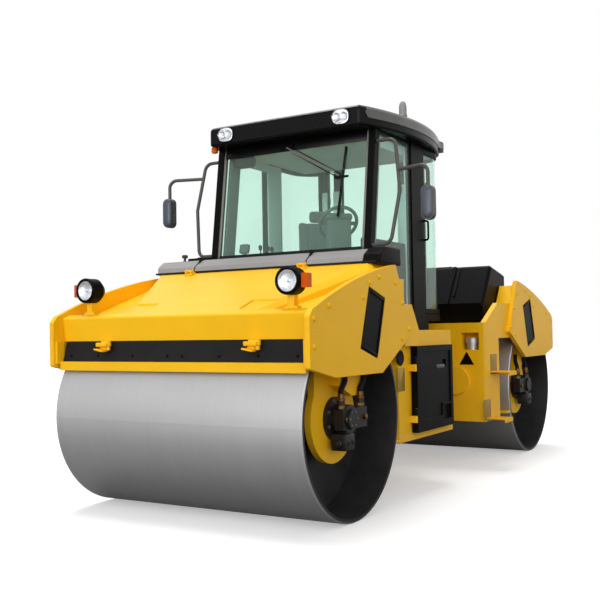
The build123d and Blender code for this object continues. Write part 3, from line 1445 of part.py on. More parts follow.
nodes = {
    "front_chassis": front_chassis,
    "front_arms": front_arms,
    "front_side_panels": front_side_panels,
    "front_panel_covers": front_panel_covers,
    "front_beam": front_beam,
    "front_hood": front_hood,
    "cowl_strip": cowl_strip,
    "front_scrapers": front_scrapers,
    "front_scraper_mats": front_scraper_mats,
    "lamp_brackets": lamp_brackets,
    "headlamps": headlamps,
    "headlamp_lenses": headlamp_lenses,
    "indicator_lamps": indicator_lamps,
    "front_drum_motors": front_drum_motors,
    "front_drum_hoses": front_drum_hoses,
    "cab_base": cab_base,
    "cab_frame": cab_frame,
    "cab_roof": cab_roof,
    "windscreen": windscreen,
    "wiper": wiper,
    "cab_glass": cab_glass,
    "roof_lamps": roof_lamps,
    "mirrors": mirrors,
    "beacon": beacon,
    "seat": seat,
    "steering_console": steering_console,
    "steering_barrel": steering_barrel,
    "cab_door_left": cab_door_left,
    "cab_door_left_glass": cab_door_left_glass,
    "cab_door_right": cab_door_right,
    "cab_door_right_glass": cab_door_right_glass,
    "service_door_left": service_door_left,
    "service_door_right": service_door_right,
    "front_drum": front_drum,
    "rear_drum": rear_drum,
    "steering_rod": steering_rod,
    "rear_chassis": rear_chassis,
    "articulation_hitch": articulation_hitch,
    "rear_arms": rear_arms,
    "rear_side_panels": rear_side_panels,
    "rear_panel_covers": rear_panel_covers,
    "rear_beam": rear_beam,
    "rear_tank": rear_tank,
    "rear_scrapers": rear_scrapers,
    "rear_scraper_mats": rear_scraper_mats,
    "rear_drum_motors": rear_drum_motors,
    "rear_drum_hoses": rear_drum_hoses,
    "rear_steps": rear_steps,
    "fuel_cap": fuel_cap,
    "slow_sign": slow_sign,
    "engine_block": engine_block,
    "engine_hood": engine_hood,
    "tail_lamps": tail_lamps,
}
os.makedirs("parts", exist_ok=True)
for name, node in nodes.items():
    node.part.label = name
    export_step(node.part, f"parts/{name}.step")
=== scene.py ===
import json
import math

import bmesh
import bpy
from mathutils import Matrix, Vector


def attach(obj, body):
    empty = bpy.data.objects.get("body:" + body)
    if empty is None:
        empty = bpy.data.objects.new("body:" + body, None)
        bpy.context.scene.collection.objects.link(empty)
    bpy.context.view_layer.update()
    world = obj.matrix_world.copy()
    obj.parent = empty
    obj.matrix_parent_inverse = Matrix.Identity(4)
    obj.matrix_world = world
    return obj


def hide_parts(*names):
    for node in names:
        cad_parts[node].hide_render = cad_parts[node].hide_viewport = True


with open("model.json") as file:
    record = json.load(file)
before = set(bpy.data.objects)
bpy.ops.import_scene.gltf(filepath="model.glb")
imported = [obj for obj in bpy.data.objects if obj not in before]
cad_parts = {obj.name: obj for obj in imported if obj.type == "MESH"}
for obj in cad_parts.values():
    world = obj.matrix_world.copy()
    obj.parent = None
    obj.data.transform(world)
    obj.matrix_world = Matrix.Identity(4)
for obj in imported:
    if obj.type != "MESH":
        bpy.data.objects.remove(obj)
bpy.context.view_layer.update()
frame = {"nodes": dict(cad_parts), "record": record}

# Places that several pieces share, in metres
AXLE_X = 2.0
AXLE_Z = 0.7
DRUM_RADIUS = 0.7
PANEL_FACE = 1.13
PANEL_INNER = 1.09
CAB_FLOOR = 1.44
COWL_TOP = 1.915
HOOD_TOP_X = 1.575
HOOD_TOP_Z = 1.80
LATCH_Y = (-0.65, 0.43)
SCREEN_FOOT = Vector((1.127, 0.0, 1.945))
SCREEN_HEAD = Vector((0.992, 0.0, 2.93))
SCREEN_HALF = 0.72
LAMP = Vector((2.564, 0.89, 1.635))
SEAT = Vector((0.06, -0.25, CAB_FLOOR))
SEAT_TURN = math.radians(45.0)

FRAMES = (("front_frame", 1), ("rear_frame", -1))
SIDES = (1, -1)
ABOVE = 4.0
DOWN = (0, 0, -1)
RIDGE_SINK = 0.002


# Mesh making

def toward(centre, axis):
    """A placing that turns local Z to the axis and moves it to the centre."""
    turn = Vector((0.0, 0.0, 1.0)).rotation_difference(Vector(axis)).to_matrix().to_4x4()
    return Matrix.Translation(Vector(centre)) @ turn


def moved(x, y, z):
    return Matrix.Translation((x, y, z))


def turned(degrees, axis):
    return Matrix.Rotation(math.radians(degrees), 4, axis)


def on_side(x, y, z, side):
    """A placing on a side of the machine: local X forward, local Y up, local Z outward."""
    return Matrix(((1, 0, 0, x), (0, 0, side, side * y), (0, 1, 0, z), (0, 0, 0, 1)))


def facing(x, y, z, way):
    """A placing that faces forward or, with a way of -1, backward: local Y up, local Z that way."""
    return Matrix(((0, 0, way, x), (way, 0, 0, y), (0, 1, 0, z), (0, 0, 0, 1)))


def lathe(bm, placing, profile, segments):
    """Turns a profile of (height, radius) pairs about local Z."""
    rings = []
    for height, radius in profile:
        if radius < 1e-6:
            rings.append([bm.verts.new(placing @ Vector((0.0, 0.0, height)))])
            continue
        ring = []
        for index in range(segments):
            angle = 2.0 * math.pi * index / segments
            point = Vector((radius * math.cos(angle), radius * math.sin(angle), height))
            ring.append(bm.verts.new(placing @ point))
        rings.append(ring)
    for low, high in zip(rings, rings[1:]):
        for index in range(segments):
            after = (index + 1) % segments
            corners = [low[index % len(low)], low[after % len(low)]]
            corners += [high[after % len(high)], high[index % len(high)]]
            corners = list(dict.fromkeys(corners))
            if len(corners) > 2:
                bm.faces.new(corners)


def slab(bm, placing, size, bevel=0.004, steps=2):
    """A block with rounded edges, centred on its placing."""
    scale = Matrix.Diagonal((size[0], size[1], size[2], 1.0))
    made = bmesh.ops.create_cube(bm, size=1.0, matrix=placing @ scale)
    edges = list(dict.fromkeys(edge for vert in made["verts"] for edge in vert.link_edges))
    bmesh.ops.bevel(bm, geom=edges, offset=bevel, segments=steps, profile=0.5, affect="EDGES")


def prism(bm, placing, outline, depth, bevel=0.0, steps=2):
    """A plate: an outline in local XY, raised along local Z, its top edges rounded."""
    low = [bm.verts.new(placing @ Vector((x, y, 0.0))) for x, y in outline]
    high = [bm.verts.new(placing @ Vector((x, y, depth))) for x, y in outline]
    count = len(outline)
    bm.faces.new(low[::-1])
    top = bm.faces.new(high)
    for index in range(count):
        after = (index + 1) % count
        bm.faces.new((low[index], low[after], high[after], high[index]))
    if bevel:
        bmesh.ops.bevel(bm, geom=list(top.edges), offset=bevel, segments=steps, profile=0.5, affect="EDGES")


def rounded(width, height, radius, steps=6):
    """The outline of a rectangle with round corners."""
    points = []
    for corner, (sx, sy) in enumerate(((1, 1), (-1, 1), (-1, -1), (1, -1))):
        for step in range(steps + 1):
            angle = math.pi / 2 * (corner + step / steps)
            x = sx * (width / 2 - radius) + radius * math.cos(angle)
            y = sy * (height / 2 - radius) + radius * math.sin(angle)
            points.append((x, y))
    return points


def skin(bm, rings):
    """Faces between each ring of corners and the next."""
    for one, two in zip(rings, rings[1:]):
        for index in range(len(one)):
            after = (index + 1) % len(one)
            bm.faces.new((one[index], one[after], two[after], two[index]))


def bolt(bm, centre, axis, radius):
    """A washer under a chamfered hexagon head."""
    placing = toward(centre, axis)
    washer = ((0.0, 1.45), (0.1, 1.45), (0.2, 1.3), (0.2, 0.0))
    head = ((0.0, 1.0), (0.65, 1.0), (0.85, 0.82), (0.85, 0.0))
    for profile, segments in ((washer, 20), (head, 6)):
        lathe(bm, placing, [(height * radius, reach * radius) for height, reach in profile], segments)


def piece(name, bm, material, body, crease=35.0):
    """Makes one object from the mesh, lets it ride on a body and gives it a finish."""
    bmesh.ops.recalc_face_normals(bm, faces=bm.faces)
    mesh = bpy.data.meshes.new(name)
    bm.to_mesh(mesh)
    bm.free()
    mesh.polygons.foreach_set("use_smooth", [True] * len(mesh.polygons))
    mesh.set_sharp_from_angle(angle=math.radians(crease))
    mesh.materials.append(material)
    obj = bpy.data.objects.new(name, mesh)
    bpy.context.scene.collection.objects.link(obj)
    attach(obj, body)
    return obj


def touch(node, begin, way):
    """Where a line meets a CAD node: the place and the surface's direction there."""
    solid = frame["nodes"][node]
    back = solid.matrix_world.inverted()
    hit, place, normal, _ = solid.ray_cast(back @ Vector(begin), back.to_3x3() @ Vector(way))
    if not hit:
        raise ValueError("no surface of " + node + " there")
    return solid.matrix_world @ place, (solid.matrix_world.to_3x3() @ normal).normalized()


def ridge(bm, node, begins, way, width, height):
    """A raised rib that follows the surface of a CAD node under a row of places."""
    spots = [touch(node, begin, way) for begin in begins]
    sections = []
    for index, (place, normal) in enumerate(spots):
        along = spots[min(index + 1, len(spots) - 1)][0] - spots[max(index - 1, 0)][0]
        across = along.normalized().cross(normal).normalized() * width / 2
        sunk = place - normal * RIDGE_SINK
        raised = place + normal * height
        corners = (sunk - across, raised - across * 0.7, raised + across * 0.7, sunk + across)
        sections.append([bm.verts.new(corner) for corner in corners])
    skin(bm, sections)
    bm.faces.new(sections[0][::-1])
    bm.faces.new(sections[-1])


# Materials

GRAIN_DEPTH = 0.001


def srgb(red, green, blue):
    """A colour as it looks on screen, from 0 to 255, as the linear light that shaders take."""
    def linear(value):
        value = value / 255.0
        return value / 12.92 if value <= 0.04045 else ((value + 0.055) / 1.055) ** 2.4
    return (linear(red), linear(green), linear(blue), 1.0)


def scaled(colour, factor):
    return (*[min(1.0, channel * factor) for channel in colour[:3]], 1.0)


def start(name):
    material = bpy.data.materials.new(name)
    material.use_nodes = True
    return material, material.node_tree.nodes, material.node_tree.links


def noise(nodes, links, coords, scale, detail=3.0, stretch=None):
    """A noise in the part's own coordinates, stretched along its axes if asked."""
    made = nodes.new("ShaderNodeTexNoise")
    made.inputs["Scale"].default_value = scale
    made.inputs["Detail"].default_value = detail
    source = coords.outputs["Object"]
    if stretch:
        mapping = nodes.new("ShaderNodeMapping")
        mapping.inputs["Scale"].default_value = stretch
        links.new(source, mapping.inputs["Vector"])
        source = mapping.outputs["Vector"]
    links.new(source, made.inputs["Vector"])
    return made


def ramp(nodes, links, source, low, high, low_at=0.3, high_at=0.7):
    """Two colours spread over a range of the source."""
    made = nodes.new("ShaderNodeValToRGB")
    made.color_ramp.elements[0].position = low_at
    made.color_ramp.elements[0].color = low
    made.color_ramp.elements[1].position = high_at
    made.color_ramp.elements[1].color = high
    links.new(source, made.inputs["Fac"])
    return made


def spread(nodes, links, source, low, high, from_low=0.3, from_high=0.7):
    """A number spread over a range of the source."""
    made = nodes.new("ShaderNodeMapRange")
    made.inputs["From Min"].default_value = from_low
    made.inputs["From Max"].default_value = from_high
    made.inputs["To Min"].default_value = low
    made.inputs["To Max"].default_value = high
    links.new(source, made.inputs["Value"])
    return made


def finish(name, colour, roughness, metallic=0.0, tint=0.06, cloud=2.5, grain=260.0, bump=0.08, rough=0.06,
           edge=0.0, dust=0.0, worn=None, stretch=None, shine=0.5):
    """A surface with clouded colour, grained gloss and bump, soft edges, wear on its edges and low dust."""
    material, nodes, links = start(name)
    shader = nodes["Principled BSDF"]
    coords = nodes.new("ShaderNodeTexCoord")
    clouds = noise(nodes, links, coords, cloud, 5.0)
    low, high = scaled(colour, 1.0 - tint), scaled(colour, 1.0 + tint)
    colours = ramp(nodes, links, clouds.outputs["Fac"], low, high)
    base = colours.outputs["Color"]
    fine = noise(nodes, links, coords, grain, 2.0, stretch)
    gloss = spread(nodes, links, fine.outputs["Fac"], roughness - rough, roughness + rough)
    links.new(gloss.outputs["Result"], shader.inputs["Roughness"])
    relief = nodes.new("ShaderNodeBump")
    relief.inputs["Strength"].default_value = bump
    relief.inputs["Distance"].default_value = GRAIN_DEPTH
    links.new(fine.outputs["Fac"], relief.inputs["Height"])
    if edge:
        soft = nodes.new("ShaderNodeBevel")
        soft.samples = 4
        soft.inputs["Radius"].default_value = edge
        links.new(soft.outputs["Normal"], relief.inputs["Normal"])
        if worn:
            flat = nodes.new("ShaderNodeNewGeometry")
            bend = nodes.new("ShaderNodeVectorMath")
            bend.operation = "DOT_PRODUCT"
            links.new(soft.outputs["Normal"], bend.inputs[0])
            links.new(flat.outputs["True Normal"], bend.inputs[1])
            rub = spread(nodes, links, bend.outputs["Value"], 0.55, 0.0, 0.80, 0.995)
            chips = noise(nodes, links, coords, 24.0, 6.0)
            patch = spread(nodes, links, chips.outputs["Fac"], 0.0, 1.0, 0.48, 0.62)
            both = nodes.new("ShaderNodeMath")
            both.operation = "MULTIPLY"
            links.new(rub.outputs["Result"], both.inputs[0])
            links.new(patch.outputs["Result"], both.inputs[1])
            base = mixed(nodes, links, both.outputs["Value"], base, worn)
    if dust:
        parts = nodes.new("ShaderNodeSeparateXYZ")
        links.new(coords.outputs["Object"], parts.inputs["Vector"])
        fall = spread(nodes, links, parts.outputs["Z"], dust, 0.0, 0.35, 1.15)
        smear = noise(nodes, links, coords, 7.0, 6.0)
        film = spread(nodes, links, smear.outputs["Fac"], 0.3, 1.0, 0.35, 0.65)
        both = nodes.new("ShaderNodeMath")
        both.operation = "MULTIPLY"
        links.new(fall.outputs["Result"], both.inputs[0])
        links.new(film.outputs["Result"], both.inputs[1])
        base = mixed(nodes, links, both.outputs["Value"], base, srgb(150, 136, 112))
    links.new(base, shader.inputs["Base Color"])
    links.new(relief.outputs["Normal"], shader.inputs["Normal"])
    shader.inputs["Metallic"].default_value = metallic
    shader.inputs["Specular IOR Level"].default_value = shine
    return material


def mixed(nodes, links, factor, first, second):
    """One colour over another, by a factor. The second is a socket or a plain colour."""
    made = nodes.new("ShaderNodeMix")
    made.data_type = "RGBA"
    links.new(factor, made.inputs["Factor"])
    links.new(first, made.inputs["A"])
    if isinstance(second, tuple):
        made.inputs["B"].default_value = second
    else:
        links.new(second, made.inputs["B"])
    return made.outputs["Result"]


def drum_finish(name, axle_x):
    """Rolled steel on the drum's shell, with fine lines round it, and dark paint on its inside."""
    material, nodes, links = start(name)
    shader = nodes["Principled BSDF"]
    coords = nodes.new("ShaderNodeTexCoord")
    shift = nodes.new("ShaderNodeVectorMath")
    shift.operation = "SUBTRACT"
    shift.inputs[1].default_value = (axle_x, 0.0, AXLE_Z)
    links.new(coords.outputs["Object"], shift.inputs[0])
    flat = nodes.new("ShaderNodeVectorMath")
    flat.operation = "MULTIPLY"
    flat.inputs[1].default_value = (1.0, 0.0, 1.0)
    links.new(shift.outputs["Vector"], flat.inputs[0])
    reach = nodes.new("ShaderNodeVectorMath")
    reach.operation = "LENGTH"
    links.new(flat.outputs["Vector"], reach.inputs[0])
    lines = noise(nodes, links, coords, 1.0, 3.0, (1.2, 60.0, 1.2))
    stain = noise(nodes, links, coords, 2.2, 6.0, (1.0, 0.35, 1.0))
    steel = ramp(nodes, links, lines.outputs["Fac"], srgb(180, 180, 181), srgb(185, 185, 186))
    aged = spread(nodes, links, stain.outputs["Fac"], 0.0, 0.12, 0.45, 0.70)
    shell = mixed(nodes, links, aged.outputs["Result"], steel.outputs["Color"], srgb(150, 146, 140))
    scuff = noise(nodes, links, coords, 9.0, 5.0)
    paint = ramp(nodes, links, scuff.outputs["Fac"], srgb(22, 22, 24), srgb(38, 37, 37))
    inside = spread(nodes, links, reach.outputs["Value"], 1.0, 0.0, DRUM_RADIUS - 0.012, DRUM_RADIUS - 0.006)
    colour = mixed(nodes, links, inside.outputs["Result"], shell, paint.outputs["Color"])
    links.new(colour, shader.inputs["Base Color"])
    metal = spread(nodes, links, inside.outputs["Result"], 0.85, 0.0, 0.0, 1.0)
    links.new(metal.outputs["Result"], shader.inputs["Metallic"])
    gloss = spread(nodes, links, lines.outputs["Fac"], 0.50, 0.54)
    links.new(gloss.outputs["Result"], shader.inputs["Roughness"])
    relief = nodes.new("ShaderNodeBump")
    relief.inputs["Strength"].default_value = 0.015
    relief.inputs["Distance"].default_value = GRAIN_DEPTH
    links.new(lines.outputs["Fac"], relief.inputs["Height"])
    links.new(relief.outputs["Normal"], shader.inputs["Normal"])
    return material


def glass_finish(name, colour, roughness=0.03, haze=0.35, veil=0.0):
    """Clear tinted glass with a faint film of dust in its gloss and a pale veil."""
    material, nodes, links = start(name)
    shader = nodes["Principled BSDF"]
    coords = nodes.new("ShaderNodeTexCoord")
    film = noise(nodes, links, coords, 6.0, 6.0)
    tone = ramp(nodes, links, film.outputs["Fac"], scaled(colour, 0.985), colour)
    links.new(tone.outputs["Color"], shader.inputs["Base Color"])
    gloss = spread(nodes, links, film.outputs["Fac"], roughness * (1.0 - haze), roughness * (1.0 + haze))
    links.new(gloss.outputs["Result"], shader.inputs["Roughness"])
    shader.inputs["Transmission Weight"].default_value = 1.0 - veil
    shader.inputs["IOR"].default_value = 1.20
    path = nodes.new("ShaderNodeLightPath")
    soft = nodes.new("ShaderNodeMath")
    soft.operation = "MAXIMUM"
    links.new(path.outputs["Is Shadow Ray"], soft.inputs[0])
    links.new(path.outputs["Is Diffuse Ray"], soft.inputs[1])
    through = nodes.new("ShaderNodeBsdfTransparent")
    through.inputs["Color"].default_value = scaled(colour, 0.95)
    either = nodes.new("ShaderNodeMixShader")
    links.new(soft.outputs["Value"], either.inputs["Fac"])
    links.new(shader.outputs["BSDF"], either.inputs[1])
    links.new(through.outputs["BSDF"], either.inputs[2])
    links.new(either.outputs["Shader"], nodes["Material Output"].inputs["Surface"])
    return material


def lens_finish(name, colour, lines):
    """A coloured lamp lens with moulded ribs."""
    material, nodes, links = start(name)
    shader = nodes["Principled BSDF"]
    coords = nodes.new("ShaderNodeTexCoord")
    ribs = nodes.new("ShaderNodeTexWave")
    ribs.bands_direction = "Z"
    ribs.inputs["Scale"].default_value = lines
    links.new(coords.outputs["Object"], ribs.inputs["Vector"])
    tone = ramp(nodes, links, ribs.outputs["Fac"], scaled(colour, 0.8), colour, 0.0, 1.0)
    links.new(tone.outputs["Color"], shader.inputs["Base Color"])
    relief = nodes.new("ShaderNodeBump")
    relief.inputs["Strength"].default_value = 0.5
    relief.inputs["Distance"].default_value = 0.002
    links.new(ribs.outputs["Fac"], relief.inputs["Height"])
    links.new(relief.outputs["Normal"], shader.inputs["Normal"])
    shader.inputs["Roughness"].default_value = 0.14
    shader.inputs["Specular IOR Level"].default_value = 0.15
    return material


def cloth_finish(name, colour):
    """Woven seat cloth: two crossing sets of threads."""
    material, nodes, links = start(name)
    shader = nodes["Principled BSDF"]
    coords = nodes.new("ShaderNodeTexCoord")
    heights = []
    for direction in ("X", "Z"):
        threads = nodes.new("ShaderNodeTexWave")
        threads.bands_direction = direction
        threads.inputs["Scale"].default_value = 90.0
        threads.inputs["Distortion"].default_value = 1.2
        links.new(coords.outputs["Object"], threads.inputs["Vector"])
        heights.append(threads)
    weave = nodes.new("ShaderNodeMath")
    weave.operation = "MAXIMUM"
    links.new(heights[0].outputs["Fac"], weave.inputs[0])
    links.new(heights[1].outputs["Fac"], weave.inputs[1])
    tone = ramp(nodes, links, weave.outputs["Value"], scaled(colour, 0.6), scaled(colour, 1.15), 0.0, 1.0)
    links.new(tone.outputs["Color"], shader.inputs["Base Color"])
    relief = nodes.new("ShaderNodeBump")
    relief.inputs["Strength"].default_value = 0.4
    relief.inputs["Distance"].default_value = GRAIN_DEPTH
    links.new(weave.outputs["Value"], relief.inputs["Height"])
    links.new(relief.outputs["Normal"], shader.inputs["Normal"])
    shader.inputs["Roughness"].default_value = 0.9
    shader.inputs["Sheen Weight"].default_value = 0.3
    return material


def hatch_finish(name, first, second, scale):
    """Slanting bands of two colours."""
    material, nodes, links = start(name)
    shader = nodes["Principled BSDF"]
    coords = nodes.new("ShaderNodeTexCoord")
    turn = nodes.new("ShaderNodeMapping")
    turn.inputs["Rotation"].default_value = (0.0, math.radians(45.0), 0.0)
    links.new(coords.outputs["Object"], turn.inputs["Vector"])
    bands = nodes.new("ShaderNodeTexWave")
    bands.bands_direction = "X"
    bands.inputs["Scale"].default_value = scale
    links.new(turn.outputs["Vector"], bands.inputs["Vector"])
    tone = ramp(nodes, links, bands.outputs["Fac"], first, second, 0.46, 0.54)
    links.new(tone.outputs["Color"], shader.inputs["Base Color"])
    grain = noise(nodes, links, coords, 300.0)
    gloss = spread(nodes, links, grain.outputs["Fac"], 0.4, 0.6)
    links.new(gloss.outputs["Result"], shader.inputs["Roughness"])
    return material


yellow = finish("yellow_paint", srgb(249, 190, 18), 0.40, tint=0.035, grain=320.0, bump=0.05, edge=0.005,
                dust=0.12, worn=srgb(214, 158, 40), shine=0.22)
black = finish("black_paint", srgb(6, 6, 6), 0.42, tint=0.25, grain=300.0, bump=0.08, edge=0.004,
               dust=0.02, worn=srgb(34, 33, 32), shine=0.06)
roof_plastic = finish("black_plastic", srgb(9, 9, 10), 0.30, tint=0.2, grain=420.0, bump=0.12,
                      edge=0.004, shine=0.10)
grey = finish("grey_plastic", srgb(136, 134, 133), 0.55, tint=0.08, grain=500.0, bump=0.16, edge=0.004)
rubber = finish("rubber", srgb(20, 20, 21), 0.72, tint=0.22, cloud=8.0, grain=220.0, bump=0.25, shine=0.2)
cast = finish("cast_grey", srgb(26, 24, 23), 0.5, metallic=0.2, tint=0.25, cloud=14.0, grain=180.0,
              bump=0.3, edge=0.003)
strip = finish("edge_strip", srgb(112, 112, 106), 0.45, tint=0.1, grain=300.0, bump=0.1)
bolt_steel = finish("bolt_steel", srgb(96, 94, 92), 0.45, metallic=0.8, tint=0.15, cloud=30.0)
bright = finish("bright_steel", srgb(205, 205, 205), 0.16, metallic=1.0, tint=0.05, grain=180.0, bump=0.02)
alloy = finish("cap_alloy", srgb(196, 196, 194), 0.42, metallic=0.6, tint=0.06, cloud=30.0,
               grain=240.0, bump=0.06)
brass = finish("brass", srgb(112, 84, 48), 0.42, metallic=1.0, tint=0.12, cloud=20.0, bump=0.05)
mirror_face = finish("mirror_face", srgb(228, 232, 235), 0.04, metallic=1.0, tint=0.01, bump=0.0,
                     rough=0.01)
reflector = finish("reflector", srgb(222, 223, 225), 0.34, metallic=0.8, tint=0.08, cloud=40.0, bump=0.10)
# Mid grey for the roof's top edge: a painted sheen, the highlight of the black roof painted as grey
roof_sheen_paint = finish("roof_painted_sheen", srgb(84, 84, 82), 0.30, tint=0.30, cloud=5.0, grain=260.0, bump=0.15,
             rough=0.10, shine=0.5)
rail = finish("rail_paint", srgb(72, 71, 68), 0.42, tint=0.12, grain=300.0, bump=0.06, shine=0.35)
shell_plastic = finish("mirror_shell", srgb(58, 66, 78), 0.38, tint=0.12, grain=400.0, bump=0.10)
lining = finish("cab_lining", srgb(228, 233, 238), 0.8, tint=0.05, grain=400.0, bump=0.25,
                edge=0.003, shine=0.2)
trim_plastic = finish("trim_plastic", srgb(96, 102, 99), 0.6, tint=0.08, grain=350.0, bump=0.2, edge=0.004)
plate_metal = finish("plate_metal", srgb(170, 140, 52), 0.4, metallic=0.4, tint=0.12, cloud=16.0,
                     grain=200.0)
cloth = cloth_finish("seat_cloth", srgb(112, 114, 114))
glass = glass_finish("tinted_glass", srgb(231, 252, 243), veil=0.05)
clear = glass_finish("clear_lens", srgb(246, 248, 250), 0.05)
amber = lens_finish("amber_lens", srgb(226, 92, 4), 90.0)
red = lens_finish("red_lens", srgb(190, 16, 12), 70.0)
hatch = hatch_finish("hatch_tape", srgb(186, 148, 40), srgb(96, 84, 52), 40.0)

by_slot = {
    "yellow_paint": yellow,
    "black_paint": black,
    "black_plastic": roof_plastic,
    "grey_plastic": grey,
    "bright_steel": bright,
    "cast_grey": cast,
    "rubber": rubber,
    "tinted_glass": glass,
    "clear_lens": clear,
    "amber_lens": amber,
    "red_lens": red,
    "seat_cloth": cloth,
}
own_finish = {
    "front_drum": drum_finish("front_drum_steel", AXLE_X),
    "rear_drum": drum_finish("rear_drum_steel", -AXLE_X),
    "steering_console": trim_plastic,
    "fuel_cap": alloy,
    "mirrors": rail,
}
for part in frame["record"]["subparts"]:
    node = frame["nodes"][part["node"]]
    chosen = own_finish.get(part["node"]) or by_slot[part["material_slot"]]
    node.data.materials.clear()
    node.data.materials.append(chosen)

# Bolts round the side panels of both forks
PANEL_BOLT = 0.014
PANEL_BOLTS = (
    (2.444, 1.467), (2.640, 1.383), (2.640, 1.210), (1.714, 1.685), (1.442, 1.652),
    (1.865, 1.640), (1.968, 1.533), (1.326, 1.507), (1.219, 1.312), (1.348, 1.238),
)
for body, end in FRAMES:
    bm = bmesh.new()
    for x, z in PANEL_BOLTS:
        for side in SIDES:
            bolt(bm, (end * x, side * PANEL_FACE, z), (0, side, 0), PANEL_BOLT)
    piece(body + "_panel_bolts", bm, yellow, body)

# Cowl: rubber lip at its foot, straps over its grooves and yellow catches on the hood
CATCH_PIN = [(0.0, 0.0), (0.0, 0.008), (0.072, 0.008), (0.072, 0.0)]
bm = bmesh.new()
slab(bm, moved(HOOD_TOP_X + 0.004, 0.0, HOOD_TOP_Z + 0.008), (0.014, 2.08, 0.016), 0.004)
for y in LATCH_Y:
    slab(bm, moved(1.335, y, COWL_TOP + 0.004), (0.23, 0.020, 0.008), 0.003)
    slab(bm, toward((1.512, y, 1.862), (0.72, 0.0, 0.69)), (0.160, 0.024, 0.014), 0.004)
    slab(bm, moved(1.470, y, COWL_TOP + 0.010), (0.050, 0.034, 0.026), 0.008)
piece("cowl_straps", bm, rubber, "front_frame")
bm = bmesh.new()
for y in LATCH_Y:
    foot = toward((1.612, y, 1.792), (0.36, 0.0, 0.93))
    slab(bm, foot, (0.070, 0.075, 0.010), 0.003)
    for side in SIDES:
        slab(bm, foot @ moved(0.0, side * 0.026, 0.020), (0.050, 0.008, 0.034), 0.003)
    lathe(bm, toward((1.616, y - 0.036, 1.816), (0, 1, 0)), CATCH_PIN, 12)
piece("hood_catches", bm, yellow, "front_frame")

# Filler knob on the cowl
KNOB_PROFILE = [
    (0.0, 0.0), (0.0, 0.020), (0.006, 0.020), (0.010, 0.011), (0.030, 0.010), (0.034, 0.024),
    (0.052, 0.026), (0.060, 0.020), (0.062, 0.0),
]
bm = bmesh.new()
lathe(bm, toward((1.40, -0.87, COWL_TOP), (0, 0, 1)), KNOB_PROFILE, 24)
piece("filler_knob", bm, cast, "front_frame")

# Headlamps: dished reflectors with bulbs, domed lenses and bezels
LAMP_DISH = [(0.001, 0.0), (0.001, 0.013), (0.002, 0.024), (0.006, 0.049), (0.014, 0.067), (0.020, 0.0715)]
LAMP_BULB = [(0.001, 0.010), (0.016, 0.009), (0.022, 0.006), (0.023, 0.0)]
LAMP_DOME = [(0.0, 0.0720), (0.004, 0.0720), (0.012, 0.056), (0.018, 0.031), (0.020, 0.0)]
LAMP_BEZEL = [(0.0, 0.0725), (0.010, 0.0735), (0.013, 0.079), (0.010, 0.087), (0.0, 0.093), (-0.01, 0.093)]


def at_lamp(side, back):
    """A placing on a headlamp's axis, set back from the lamp's place."""
    return toward((LAMP.x - back, side * LAMP.y, LAMP.z), (1, 0, 0))


bm = bmesh.new()
for side in SIDES:
    lathe(bm, at_lamp(side, 0.021), LAMP_DISH, 48)
    lathe(bm, at_lamp(side, 0.021), LAMP_BULB, 16)
piece("headlamp_reflectors", bm, reflector, "front_frame", 12.0)
bm = bmesh.new()
for side in SIDES:
    lathe(bm, at_lamp(side, 0.006), LAMP_DOME, 48)
lens = piece("headlamp_glass", bm, clear, "front_frame")
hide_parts("headlamp_lenses")
bm = bmesh.new()
for side in SIDES:
    lathe(bm, at_lamp(side, 0.004), LAMP_BEZEL, 48)
piece("headlamp_bezels", bm, black, "front_frame")

# Roof lamps: twin reflector, bezel and lens, two ahead and two behind
ROOF_LAMP_LEVEL = 3.0125
ROOF_LAMPS = ((1.20, 0.565, 1), (1.20, -0.565, 1), (-0.50, 0.44, -1), (-0.50, -0.44, -1))
ROOF_DISH = [(0.001, 0.0), (0.001, 0.010), (0.003, 0.024), (0.008, 0.033), (0.0, 0.036)]
roof_lamps = [facing(x, y, ROOF_LAMP_LEVEL, way) for x, y, way in ROOF_LAMPS]
bm = bmesh.new()
for lamp in roof_lamps:
    prism(bm, lamp @ moved(0, 0, 0.001), rounded(0.142, 0.114, 0.046), 0.006, 0.003)
    for shift in (-0.032, 0.032):
        lathe(bm, lamp @ moved(shift, 0, 0.007), ROOF_DISH, 24)
piece("roof_lamp_reflectors", bm, reflector, "front_frame")
bm = bmesh.new()
for lamp in roof_lamps:
    prism(bm, lamp, rounded(0.156, 0.128, 0.053), 0.005, 0.003)
piece("roof_lamp_bezels", bm, roof_plastic, "front_frame")
bm = bmesh.new()
for lamp in roof_lamps:
    prism(bm, lamp @ moved(0, 0, 0.018), rounded(0.140, 0.112, 0.045), 0.007, 0.005, 3)
lens = piece("roof_lamp_glass", bm, clear, "front_frame")
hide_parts("roof_lamps")

# Drum motors: flange and cap bolts, brass unions on the hoses and plugs on the port block
FLANGE_FACE = 0.930
FLANGE_BOLTS = 8
FLANGE_RING = 0.128
CAP_FACE = 1.060
CAP_BOLTS = 6
CAP_RING = 0.052
HOSE_X = (2.07, 1.79)
HOSE_Y = 1.0
UNION_FOOT = 0.776
UNION_NUT = [(0.0, 0.0), (0.0, 0.032), (0.020, 0.032), (0.023, 0.028), (0.023, 0.0)]
UNION_SLEEVE = [(0.052, 0.0), (0.052, 0.030), (0.066, 0.030), (0.070, 0.025), (0.100, 0.0235), (0.104, 0.0)]
PORT_PLUG = [(0.0, 0.0), (0.0, 0.022), (0.014, 0.022), (0.018, 0.018), (0.018, 0.0)]


def bolt_ring(bm, end, side, face_y, count, first, reach, radius):
    """A ring of bolts round a drum's axle. The first stands at a share of the bolts' spacing."""
    for index in range(count):
        angle = 2.0 * math.pi * (index + first) / count
        place = (end * AXLE_X + reach * math.cos(angle), side * face_y, AXLE_Z + reach * math.sin(angle))
        bolt(bm, place, (0, side, 0), radius)


